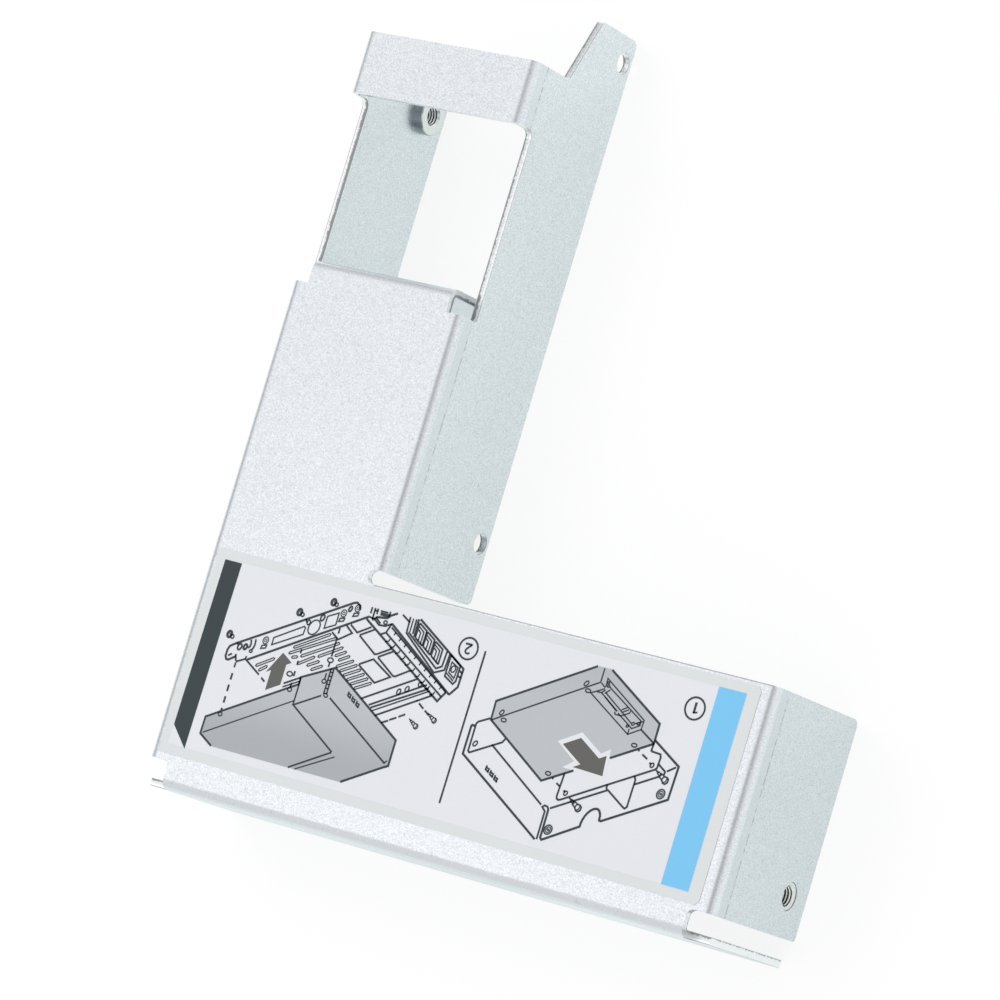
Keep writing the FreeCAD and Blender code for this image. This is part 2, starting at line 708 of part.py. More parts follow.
def main():
    """Builds every piece and writes it to its own file."""
    os.makedirs("parts", exist_ok=True)
    save(bracket(), "bracket")
    save(clinch_nut(0, 1, FRONT_NUT_Y), "clinch_nut_front")
    save(clinch_nut(0, 1, REAR_NUT_Y), "clinch_nut_rear")
    save(clinch_nut(OVERALL_WIDTH, -1, FRONT_NUT_Y), "clinch_nut_end")
    save(label(), "label")
    save(label_panel(), "label_panel")
    for node, shape in label_print().items():
        save(shape, node)


main()
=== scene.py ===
"""A folded sheet steel drive bay bracket with its clinch nuts and its printed label, in a pale studio."""

import logging
import math
from collections.abc import Iterable, Sequence
from dataclasses import dataclass, field
from enum import Enum
from functools import reduce

import bpy
import numpy as np
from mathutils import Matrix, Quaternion, Vector


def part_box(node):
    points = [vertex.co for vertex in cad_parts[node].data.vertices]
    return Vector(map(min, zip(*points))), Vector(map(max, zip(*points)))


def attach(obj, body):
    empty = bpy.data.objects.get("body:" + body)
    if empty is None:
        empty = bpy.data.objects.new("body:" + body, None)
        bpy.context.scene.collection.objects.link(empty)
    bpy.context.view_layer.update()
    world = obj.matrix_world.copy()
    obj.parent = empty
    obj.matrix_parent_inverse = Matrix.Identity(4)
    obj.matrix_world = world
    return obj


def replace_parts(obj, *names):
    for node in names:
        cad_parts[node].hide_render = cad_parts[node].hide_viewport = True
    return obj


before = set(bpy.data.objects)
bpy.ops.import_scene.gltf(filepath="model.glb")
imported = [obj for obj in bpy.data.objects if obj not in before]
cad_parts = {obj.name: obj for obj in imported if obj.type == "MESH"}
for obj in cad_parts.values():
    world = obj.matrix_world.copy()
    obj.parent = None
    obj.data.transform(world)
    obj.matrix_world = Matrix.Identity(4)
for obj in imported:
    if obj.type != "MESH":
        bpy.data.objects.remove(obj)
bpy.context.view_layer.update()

LOG = logging.getLogger("bracket_scene")
MM = 0.001
TINY = 1e-9

Colour = tuple[float, float, float]
Point = tuple[float, float]
Band = tuple[float, float]
Piece = bpy.types.Object
Material = bpy.types.Material
Tree = bpy.types.NodeTree
Node = bpy.types.Node
Socket = bpy.types.NodeSocket
Outputs = bpy.types.NodeOutputs

WHITE: Colour = (1.0, 1.0, 1.0)


class Slot(Enum):
    """The record's material slots named for the pieces built here; the line art only keeps them."""

    NUT = "nut_steel"
    PALE = "print_pale"
    GREY = "print_grey"
    DARK = "print_dark"


class Facing(Enum):
    """The side of a wall that a clinch nut's body lies on, as the sign of its axis along X."""

    INWARDS_FROM_LEFT = 1
    INWARDS_FROM_RIGHT = -1


# Meshes


def grid_faces(rows: int, columns: int, wrap_rows: bool, wrap_columns: bool) -> np.ndarray:
    """Four-cornered faces of a grid of points that is numbered row by row.

    Args:
        rows: Number of rows of points.
        columns: Number of points in a row.
        wrap_rows: Whether the last row joins the first.
        wrap_columns: Whether each row closes on itself.

    Returns:
        One line of four point numbers for each face.
    """
    row = np.arange(rows if wrap_rows else rows - 1)[:, None]
    column = np.arange(columns if wrap_columns else columns - 1)[None, :]
    next_row = (row + 1) % rows
    next_column = (column + 1) % columns
    corners = [row * columns + column, row * columns + next_column,
               next_row * columns + next_column, next_row * columns + column]
    return np.stack([corner.ravel() for corner in corners], axis=1)


def make_object(name: str, points: np.ndarray, faces: Iterable[Sequence[int]], smooth: bool) -> Piece:
    """Puts points and faces into a new mesh object at the origin.

    Args:
        name: The piece's name.
        points: Points in metres in the row frame, one line each.
        faces: Point numbers of each face.
        smooth: Whether the faces are shaded smooth.

    Returns:
        The new object, linked to the scene.
    """
    mesh = bpy.data.meshes.new(name)
    mesh.from_pydata(points.tolist(), [], [list(map(int, face)) for face in faces])
    mesh.polygons.foreach_set("use_smooth", np.full(len(mesh.polygons), smooth))
    mesh.validate()
    mesh.update()
    piece = bpy.data.objects.new(name, mesh)
    bpy.context.scene.collection.objects.link(piece)
    return piece


def finish_piece(piece: Piece, material: Material) -> None:
    """Dresses a new piece and lets it ride on the bracket."""
    piece.data.materials.append(material)
    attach(piece, "root")
    LOG.info("piece %s: %d points, %d faces", piece.name, len(piece.data.vertices), len(piece.data.polygons))


# Node trees


class Graph:
    """Adds nodes to one tree, sets or links their sockets and returns what they put out."""

    def __init__(self, tree: Tree) -> None:
        """Keeps the tree."""
        self.tree = tree

    def plug(self, socket: Socket, value: object) -> None:
        """Links a socket to another, or sets its own value."""
        if isinstance(value, Socket):
            self.tree.links.new(value, socket)
        elif isinstance(value, tuple) and socket.type == "RGBA":
            socket.default_value = (*value, 1.0)[:4]
        else:
            socket.default_value = value

    def settle(self, node: Node, inputs: dict[str | int, object]) -> None:
        """Links or sets a node's inputs by name or number."""
        for key, value in inputs.items():
            self.plug(node.inputs[key], value)

    def node(self, kind: str, inputs: dict[str | int, object] | None = None, **settings: object) -> Node:
        """Adds a node.

        Args:
            kind: The node's type in Blender.
            inputs: Values or sockets by input name or number.
            **settings: Properties of the node itself.

        Returns:
            The new node.
        """
        node = self.tree.nodes.new(kind)
        for name, value in settings.items():
            setattr(node, name, value)
        self.settle(node, inputs or {})
        return node

    def math(self, operation: str, *values: object) -> Socket:
        """The result of a sum on single values."""
        return self.node("ShaderNodeMath", dict(enumerate(values)), operation=operation).outputs[0]

    def plus(self, first: object, second: object) -> Socket:
        """One value added to another."""
        return self.math("ADD", first, second)

    def minus(self, first: object, second: object) -> Socket:
        """One value taken from another: the second from the first."""
        return self.math("SUBTRACT", first, second)

    def times(self, *values: object) -> Socket:
        """Several values multiplied together."""
        return reduce(lambda first, second: self.math("MULTIPLY", first, second), values)

    def most(self, *values: object) -> Socket:
        """The largest of several values."""
        return reduce(lambda first, second: self.math("MAXIMUM", first, second), values)

    def scaled(self, value: object, factor: object, start: object) -> Socket:
        """A value times a factor, added to a start."""
        return self.math("MULTIPLY_ADD", value, factor, start)

    def over(self, value: object, limit: float) -> Socket:
        """One where a value is above a limit, and zero elsewhere."""
        return self.math("GREATER_THAN", value, limit)

    def under(self, value: object, limit: float) -> Socket:
        """One where a value is below a limit, and zero elsewhere."""
        return self.math("LESS_THAN", value, limit)

    def ramp(self, value: object, band: Band, low: float = 0.0, high: float = 1.0) -> Socket:
        """A smooth step from low to high while a value goes through a band."""
        inputs = {0: value, 1: band[0], 2: band[1], 3: low, 4: high}
        return self.node("ShaderNodeMapRange", inputs, interpolation_type="SMOOTHSTEP").outputs[0]

    def stripe(self, value: object, rise: Band, fall: Band) -> Socket:
        """A smooth stripe that rises through one band of a value and falls through another."""
        return self.times(self.ramp(value, rise), self.ramp(value, fall, 1.0, 0.0))

    def near(self, value: object, place: float, reach: Band) -> Socket:
        """One close to a place, falling to zero while the distance to it goes through a band."""
        return self.ramp(self.math("ABSOLUTE", self.minus(value, place)), reach, 1.0, 0.0)

    def mix(self, share: object, first: object, second: object, blend: str = "MIX") -> Socket:
        """Two colours mixed by a share."""
        inputs = {0: share, 6: first, 7: second}
        return self.node("ShaderNodeMix", inputs, data_type="RGBA", blend_type=blend).outputs[2]

    def noise(self, vector: object, scale: float, detail: float = 0.0, rough: float = 0.5) -> Socket:
        """A noise value, about 0.5 on average."""
        inputs = {"Vector": vector, "Scale": scale, "Detail": detail, "Roughness": rough}
        return self.node("ShaderNodeTexNoise", inputs).outputs[0]

    def cells(self, vector: object, scale: float, draw: int) -> Socket:
        """One of the three random values that each cell of a scatter has."""
        colours = self.node("ShaderNodeTexVoronoi", {"Vector": vector, "Scale": scale}).outputs["Color"]
        return self.node("ShaderNodeSeparateColor", {0: colours}).outputs[draw]

    def place(self) -> Socket:
        """The place on the object, in metres."""
        return self.node("ShaderNodeTexCoord").outputs["Object"]

    def split(self, vector: object) -> list[Socket]:
        """A vector's three parts."""
        return list(self.node("ShaderNodeSeparateXYZ", {0: vector}).outputs)

    def stretched(self, vector: object, factor: object) -> Socket:
        """A vector times a factor."""
        return self.node("ShaderNodeVectorMath", {0: vector, "Scale": factor}, operation="SCALE").outputs[0]

    def from_corner(self, vector: object) -> list[Socket]:
        """A place's three distances from the bracket's lowest corner, in millimetres."""
        corner = tuple(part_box("bracket")[0])
        moved = self.node("ShaderNodeVectorMath", {0: vector, 1: corner}, operation="SUBTRACT").outputs[0]
        return self.split(self.stretched(moved, 1 / MM))

    def bump(self, height: object, strength: float, depth: float) -> Socket:
        """A normal that follows a height, with its greatest depth in millimetres."""
        inputs = {"Height": height, "Strength": strength, "Distance": depth * MM}
        return self.node("ShaderNodeBump", inputs).outputs[0]

    def group(self, tree: Tree, **inputs: object) -> Outputs:
        """What a node group puts out for its inputs."""
        return self.node("ShaderNodeGroup", inputs, node_tree=tree).outputs


def new_group(name: str, outputs: Sequence[str], **numbers: float) -> tuple[Tree, Graph, Outputs]:
    """Makes an empty shader node group that takes a vector and numbers and puts out numbers.

    Args:
        name: The group's name.
        outputs: The names of what it puts out.
        **numbers: The default value of each number that it takes.

    Returns:
        The group, a graph to fill it with and what its input node gives.
    """
    tree = bpy.data.node_groups.new(name, "ShaderNodeTree")
    tree.interface.new_socket(name="Vector", in_out="INPUT", socket_type="NodeSocketVector")
    for label, value in numbers.items():
        socket = tree.interface.new_socket(name=label, in_out="INPUT", socket_type="NodeSocketFloat")
        socket.default_value = value
    for label in outputs:
        tree.interface.new_socket(name=label, in_out="OUTPUT", socket_type="NodeSocketFloat")
    graph = Graph(tree)
    return tree, graph, graph.node("NodeGroupInput").outputs


@dataclass(frozen=True)
class SheetMap:
    """Where the bent sheet's outer faces and its marks lie, in millimetres from the bracket's lowest corner.

    A start or an end that is a band is where a mask rises or falls. A reach is such a band of distances. Skin
    is how far below a face still counts as on it, and far is a distance that puts a face out of reach.
    """

    thickness: float = 1.2
    bend_radius: float = 1.6
    width: float = 101.6
    height: float = 24.75
    short_leg_rear: float = 37.4
    long_leg_width: float = 31.65
    long_leg_start: float = 38.5
    side_walls_start: float = 2.7
    tongue_face: float = 83.2
    tongue_start: float = 79.4
    tongue_left: float = 3.0
    tongue_right: float = 29.1
    far: float = 50.0
    skin: float = 0.05
    upper_skin: float = 0.1
    scuffs_start: Band = (1.2, 1.6)
    scuffs_end: Band = (3.3, 4.2)
    tool_mark: float = 3.5
    tool_mark_reach: Band = (0.05, 0.2)
    relief_middle: float = 81.3
    relief_reach: Band = (2.0, 2.6)
    relief_left: float = 26.0
    window_left: float = 4.0
    pressed_end: Band = (1.3, 1.55)
    pressed_waver: float = 0.5
    pressed_grain: float = 700.0
    slot_left: float = 30.6
    rear_edge_reach: Band = (0.1, 0.24)

    def group(self) -> Tree:
        """Builds the group that tells how deep in the sheet a point lies, and where the sheet is marked.

        The distance to each outer face is taken from the bend's outer radius and kept above zero. The length
        of these values together, taken from the radius again, is the depth below the outer skin, on the flats
        and round the bends alike. Divided by the thickness it is 0 on the outer skin and 1 on the inner one,
        so only cut edges lie between. Where two of the values are large at once, the sheet is bent.

        Scuffs is a band on the right walls just under their bends, where the sheet slid over the folding
        tool, and Mark the thin line that the tool's edge left below it. Torn is where the punched edges tore
        most, at the tongue's corner and along the window's left edge. SmoothBendShade is the bottom bend,
        which the tool pressed smooth, with an uneven start; the finish paints shade there as well.
        RearEdgeShade is the thin line along the short leg's rear where painted shade stands for the edge in
        shadow.

        Returns:
            A group from Vector to Depth, Bend, Scuffs, Mark, Torn, SmoothBendShade and RearEdgeShade.
        """
        names = ("Depth", "Bend", "Scuffs", "Mark", "Torn", "SmoothBendShade", "RearEdgeShade")
        tree, graph, given = new_group("sheet_depth", names)
        x, y, z = graph.from_corner(given["Vector"])
        on_long_leg = graph.over(y, self.long_leg_start)
        right = graph.scaled(on_long_leg, self.long_leg_width - self.width, self.width)
        from_right, fall = graph.minus(right, x), graph.minus(self.height, z)
        on_tongue = graph.times(
            graph.over(y, self.tongue_start), graph.under(y, self.tongue_face + self.upper_skin),
            graph.over(x, self.tongue_left), graph.under(x, self.tongue_right),
        )
        elsewhere = graph.scaled(on_tongue, -self.far, self.far)
        no_side_walls = graph.times(graph.under(y, self.side_walls_start), self.far)
        distances = [
            graph.plus(x, no_side_walls), y, graph.plus(from_right, no_side_walls), fall,
            graph.plus(graph.minus(self.tongue_face, y), elsewhere),
        ]
        total, squares = 0.0, 0.0
        for distance in distances:
            reach = graph.most(graph.minus(self.bend_radius, distance), 0.0)
            total = graph.plus(total, reach)
            squares = graph.scaled(reach, reach, squares)
        below = graph.minus(self.bend_radius, graph.math("SQRT", squares))
        bent = graph.minus(graph.times(total, total), squares)
        on_right = graph.under(from_right, self.skin)
        at_relief = graph.near(y, self.relief_middle, self.relief_reach)
        at_window = graph.times(graph.under(x, self.window_left), graph.over(y, self.tongue_start))
        waver = graph.noise(given["Vector"], self.pressed_grain, 2.0)
        waver = graph.scaled(waver, self.pressed_waver, -self.pressed_waver / 2)
        graph.node("NodeGroupOutput", {
            "Depth": graph.math("DIVIDE", below, self.thickness),
            "Bend": graph.math("DIVIDE", bent, self.bend_radius**2),
            "Scuffs": graph.times(graph.stripe(fall, self.scuffs_start, self.scuffs_end), on_right),
            "Mark": graph.times(graph.near(fall, self.tool_mark, self.tool_mark_reach), on_right),
            "Torn": graph.most(graph.times(at_relief, graph.over(x, self.relief_left)), at_window),
            # SmoothBendShade: the smooth bottom bend, which also takes painted shade.
            "SmoothBendShade": graph.ramp(graph.plus(y, waver), self.pressed_end, 1.0, 0.0),
            # RearEdgeShade: where painted shade stands for the short leg's rear edge in shadow.
            "RearEdgeShade": graph.times(
                graph.near(y, self.short_leg_rear, self.rear_edge_reach),
                graph.under(fall, self.upper_skin), graph.over(x, self.slot_left),
            ),
        })
        return tree


@dataclass(frozen=True)
class ZincGrain:
    """The zinc coating's grain: two sizes of grains, small flat crystals, dark pits and a soft cloud.

    Scales are in grains to the metre, and shares say how much of the grain each layer makes.
    """

    fine: float = 8000.0
    fine_share: float = 0.35
    medium: float = 5000.0
    medium_share: float = 0.4
    crystals: float = 5600.0
    crystal_share: float = 0.25
    bright_crystals: Band = (0.93, 0.99)
    pits: float = 2600.0
    pit_draws: Band = (0.975, 0.985)
    pit_shade: float = 0.09
    cloud: float = 60.0
    cloud_spread: float = 0.04

    def group(self) -> Tree:
        """Builds the group.

        Returns:
            A group from Vector, Size and Contrast to Shade, a factor round 1, Height and Sparkle.
        """
        tree, graph, given = new_group("zinc_grain", ("Shade", "Height", "Sparkle"), Size=1.0, Contrast=1.0)
        place = graph.stretched(given["Vector"], given["Size"])
        crystals = graph.cells(place, self.crystals, 0)
        grain = graph.times(graph.noise(place, self.fine), self.fine_share)
        grain = graph.scaled(graph.noise(place, self.medium), self.medium_share, grain)
        grain = graph.scaled(crystals, self.crystal_share, grain)
        cloud = graph.scaled(graph.noise(place, self.cloud, 3.0), self.cloud_spread, -self.cloud_spread / 2)
        pits = graph.times(graph.ramp(graph.cells(place, self.pits, 1), self.pit_draws), self.pit_shade)
        spread = graph.times(graph.minus(grain, 0.5), given["Contrast"])
        shade = graph.minus(graph.plus(graph.plus(spread, 1.0), cloud), pits)
        sparkle = graph.ramp(crystals, self.bright_crystals)
        graph.node("NodeGroupOutput", {"Shade": shade, "Height": grain, "Sparkle": sparkle})
        return tree


@dataclass(frozen=True)
class PaperGrain:
    """The label stock's faint tooth and the ink's faint unevenness, in grains to the metre."""

    tooth: float = 4000.0
    tooth_spread: float = 0.05
    cloud: float = 90.0
    cloud_spread: float = 0.03
    darkest: float = 0.96

    def group(self) -> Tree:
        """Builds the group.

        Returns:
            A group from Vector to Shade, a factor round 1, and Height.
        """
        tree, graph, given = new_group("paper_grain", ("Shade", "Height"))
        tooth = graph.noise(given["Vector"], self.tooth, 2.0)
        cloud = graph.scaled(graph.noise(given["Vector"], self.cloud, 3.0), self.cloud_spread, self.darkest)
        shade = graph.scaled(tooth, self.tooth_spread, cloud)
        graph.node("NodeGroupOutput", {"Shade": shade, "Height": tooth})
        return tree


class Groups:
    """The node groups that several materials share."""

    def __init__(self) -> None:
        """Builds each group once."""
        self.sheet = SheetMap().group()
        self.zinc = ZincGrain().group()
        self.paper = PaperGrain().group()


# Finishes


def new_material(name: str) -> tuple[Material, Graph, Node]:
    """A material with a node tree, a graph for it and its main shader."""
    material = bpy.data.materials.new(name)
    material.use_nodes = True
    return material, Graph(material.node_tree), material.node_tree.nodes["Principled BSDF"]


@dataclass(frozen=True)
class ZincFinish:
    """Zinc coated steel sheet: a fine grain on its skins, smoother bends, and cut edges in two tones.

    A cut edge is burnished bright down to burnish_end of the sheet's depth, and torn and dull beyond it.
    Its burnished zone gets a painted highlight where it faces sideways and painted shade where it faces up.
    Edges that face upwards also have a painted dark rim of shade and a painted highlight line, given as
    bands of that depth.
    """

    colour: Colour = (0.78, 0.81, 0.85)
    spark: Colour = (0.97, 0.98, 1.0)
    spark_share: float = 0.4
    roughness: float = 0.34
    bend_roughness: float = 0.27
    bend_step: Band = (0.02, 0.5)
    bend_flatness: float = 0.85
    grain_contrast: float = 0.85
    bend_calm: float = 0.4
    pressed_calm: float = 0.85
    scuff_calm: float = 0.5
    skin_end: Band = (0.03, 0.1)
    inner_skin_start: Band = (0.9, 0.97)
    upward_step: Band = (0.6, 0.9)
    # Painted highlight and painted shade: the burnished zone's colour on sideways and upward edges.
    sideways_burnish_highlight: Colour = (0.97, 0.975, 0.985)
    upward_burnish_shade: Colour = (0.77, 0.79, 0.815)
    streaks: float = 1.4
    fracture: Colour = (0.39, 0.405, 0.42)
    fracture_roughness: float = 0.3
    fracture_step: Band = (0.0, 0.12)
    burnish_end: float = 0.8
    upper_burnish_end: float = 0.68
    extra_tearing: float = 0.25
    raggedness: float = 0.7
    ragged_grain: float = 1500.0
    scuff_colour: Colour = (0.1, 0.1, 0.12)
    scuff_share: float = 0.035
    mark_share: float = 0.45
    mark_grain: float = 1100.0
    mark_gaps: Band = (0.44, 0.56)
    # Painted shade: factors that darken the bottom bend and the short leg's rear edge.
    bend_painted_shade: float = 0.84
    rear_edge_painted_shade: float = 0.45
    highlight_line_start: Band = (0.1, 0.13)
    highlight_line_end: Band = (0.32, 0.38)
    rim_start: Band = (0.01, 0.03)
    rim_end: Band = (0.1, 0.13)
    rim_share: float = 0.5
    rim_painted_shade: Colour = (0.2, 0.21, 0.22)
    tooth: float = 0.25
    tooth_depth: float = 0.02

    def skin(self, graph: Graph, sheet: Outputs, grain: Outputs) -> Socket:
        """The colour of the coated skins, with the tool's marks, painted shade on the bottom bend and painted
        shade along the short leg's rear edge.
        """
        colour = graph.mix(1.0, self.colour, grain["Shade"], "MULTIPLY")
        colour = graph.mix(graph.times(grain["Sparkle"], self.spark_share), colour, self.spark)
        broken = graph.ramp(graph.noise(graph.place(), self.mark_grain, 4.0, 0.75), self.mark_gaps)
        marked = graph.times(sheet["Mark"], broken, self.mark_share)
        colour = graph.mix(graph.scaled(sheet["Scuffs"], self.scuff_share, marked), colour, self.scuff_colour)
        # Painted shade darkens the bottom bend.
        pressed = graph.scaled(sheet["SmoothBendShade"], self.bend_painted_shade - 1.0, 1.0)
        # Painted shade darkens a thin line along the short leg's rear edge, for the edge in shadow.
        rear_edge_shade = graph.scaled(sheet["RearEdgeShade"], -self.rear_edge_painted_shade, 1.0)
        return graph.mix(1.0, colour, graph.times(pressed, rear_edge_shade), "MULTIPLY")

    def cut(self, graph: Graph, depth: Socket, shade: Socket, upwards: Socket) -> Socket:
        """The colour of the burnished part of the cut edges, streaked by the grain, with painted light by
        facing.
        """
        # Painted highlight on edges that face sideways, painted shade on those that face up, then a painted
        # highlight line.
        colour = graph.mix(upwards, self.sideways_burnish_highlight, self.upward_burnish_shade)
        highlight_line = graph.times(graph.stripe(depth, self.highlight_line_start, self.highlight_line_end), upwards)
        colour = graph.mix(highlight_line, colour, WHITE)
        return graph.mix(1.0, colour, graph.scaled(graph.minus(shade, 1.0), self.streaks, 1.0), "MULTIPLY")

    def torn(self, graph: Graph, sheet: Outputs, upwards: Socket) -> Socket:
        """Where a cut edge is torn: past the burnished part, from a ragged line on."""
        ragged = graph.noise(graph.place(), self.ragged_grain, 3.0, 0.7)
        ragged = graph.scaled(ragged, self.raggedness, -self.raggedness / 2)
        start = graph.scaled(upwards, self.upper_burnish_end - self.burnish_end, self.burnish_end)
        start = graph.scaled(sheet["Torn"], -self.extra_tearing, start)
        return graph.ramp(graph.minus(graph.plus(sheet["Depth"], ragged), start), self.fracture_step)

    def material(self, groups: Groups) -> Material:
        """Builds the material.

        Args:
            groups: The shared node groups.

        Returns:
            The material.
        """
        material, graph, shader = new_material("zinc_sheet")
        sheet = graph.group(groups.sheet, Vector=graph.place())
        depth, bend = sheet["Depth"], graph.ramp(sheet["Bend"], self.bend_step)
        calm = graph.most(
            graph.times(bend, self.bend_calm),
            graph.times(sheet["SmoothBendShade"], self.pressed_calm),
            graph.times(sheet["Scuffs"], self.scuff_calm),
        )
        contrast = graph.scaled(calm, -self.grain_contrast, self.grain_contrast)
        grain = graph.group(groups.zinc, Vector=graph.place(), Contrast=contrast)
        normal = graph.node("ShaderNodeNewGeometry").outputs["Normal"]
        upwards = graph.ramp(graph.split(normal)[2], self.upward_step)
        edge = graph.stripe(depth, self.skin_end, self.inner_skin_start)
        torn = graph.times(self.torn(graph, sheet, upwards), edge)
        # A painted dark rim of shade along the outer skin of upward cut edges.
        rim = graph.times(graph.stripe(depth, self.rim_start, self.rim_end), upwards, self.rim_share)
        cut = self.cut(graph, depth, grain["Shade"], upwards)
        colour = graph.mix(edge, self.skin(graph, sheet, grain), cut)
        colour = graph.mix(rim, graph.mix(torn, colour, self.fracture), self.rim_painted_shade)
        rough = graph.scaled(bend, self.bend_roughness - self.roughness, self.roughness)
        rough = graph.scaled(torn, self.fracture_roughness, rough)
        flat = graph.most(edge, graph.times(bend, self.bend_flatness))
        height = graph.times(grain["Height"], graph.minus(1.0, flat))
        graph.settle(shader, {
            "Base Color": colour, "Roughness": rough, "Metallic": 1.0,
            "Normal": graph.bump(height, self.tooth, self.tooth_depth),
        })
        return material


@dataclass(frozen=True)
class NutFinish:
    """Zinc plated turned steel, bright on its faces, with painted shade in the thread's roots and round its
    body's side.
    """

    colour: Colour = (0.8, 0.82, 0.81)
    # Painted shade in the thread's roots.
    root: Colour = (0.05, 0.055, 0.05)
    root_step: Band = (0.25, 0.75)
    # Painted shade on the body's side, a painted dark reflection.
    body: Colour = (0.3, 0.345, 0.355)
    roughness: float = 0.21
    grain_size: float = 1.3
    grain_contrast: float = 0.25
    tooth: float = 0.2
    tooth_depth: float = 0.02

    def material(self, groups: Groups) -> Material:
        """Builds the material from the shared groups."""
        material, graph, shader = new_material("plated_nut")
        grain = graph.group(
            groups.zinc, Vector=graph.place(), Size=self.grain_size, Contrast=self.grain_contrast
        )
        root, body = (
            graph.node("ShaderNodeAttribute", attribute_name=name).outputs["Fac"]
            for name in ("thread_root_shade", "body_side_shade")
        )
        # Painted shade: the thread's roots darkened for the shadowed bore.
        colour = graph.mix(graph.ramp(root, self.root_step), self.colour, self.root)
        # Painted shade: the body's side darkened as a painted dark reflection.
        colour = graph.mix(body, colour, self.body)
        graph.settle(shader, {
            "Base Color": graph.mix(1.0, colour, grain["Shade"], "MULTIPLY"),
            "Normal": graph.bump(grain["Height"], self.tooth, self.tooth_depth),
            "Roughness": self.roughness, "Metallic": 1.0,
        })
        return material


@dataclass(frozen=True)
class Fade:
    """How an ink pales away from the front: places in millimetres on the plate, and the shades there."""

    front: Band = (10.0, 19.5)
    dark: float = 0.81
    even_beyond: float = 50.0
    wall: Band = (27.0, 34.0)
    wall_shade: float = 0.07

    def shade(self, graph: Graph) -> Socket:
        """The factor by which the ink is darker at a place."""
        x, y, _ = graph.from_corner(graph.place())
        paling = graph.most(graph.ramp(y, self.front), graph.over(x, self.even_beyond))
        shade = graph.scaled(paling, 1.0 - self.dark, self.dark)
        return graph.minus(shade, graph.ramp(y, self.wall, 0.0, self.wall_shade))


@dataclass(frozen=True)
class InkFinish:
    """Label stock or one of its inks: a satin, nearly flat colour, which may pale towards the back."""

    name: str
    colour: Colour
    roughness: float = 0.5
    specular: float = 0.3
    tooth: float = 0.1
    tooth_depth: float = 0.01
    fade: Fade | None = None

    def material(self, groups: Groups) -> Material:
        """Builds the material from the shared groups."""
        material, graph, shader = new_material(self.name)
        grain = graph.group(groups.paper, Vector=graph.place())
        shade = graph.times(grain["Shade"], self.fade.shade(graph)) if self.fade else grain["Shade"]
        graph.settle(shader, {
            "Base Color": graph.mix(1.0, self.colour, shade, "MULTIPLY"),
            "Normal": graph.bump(grain["Height"], self.tooth, self.tooth_depth),
            "Roughness": self.roughness, "Specular IOR Level": self.specular,
        })
        return material


# Sub-assemblies


@dataclass
class FoldedSheet:
    """The bracket itself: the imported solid, dressed as zinc coated sheet."""

    finish: ZincFinish = field(default_factory=ZincFinish)

    def dress(self, groups: Groups) -> None:
        """Gives the folded sheet its finish."""
        dress_node("bracket", self.finish.material(groups))


def dress_node(node: str, material: Material) -> None:
    """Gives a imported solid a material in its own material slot."""
    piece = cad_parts[node]
    if not piece.data.materials:
        piece.data.materials.append(material)
    for place in piece.material_slots:
        place.material = material
    LOG.info("dressed %s with %s", node, material.name)


def mark_points(piece: Piece, name: str, values: np.ndarray) -> None:
    """Stores a value for each point of a mesh, which its material reads by name."""
    marks = piece.data.attributes.new(name, "FLOAT", "POINT")
    marks.data.foreach_set("value", values.astype(np.float32).ravel())


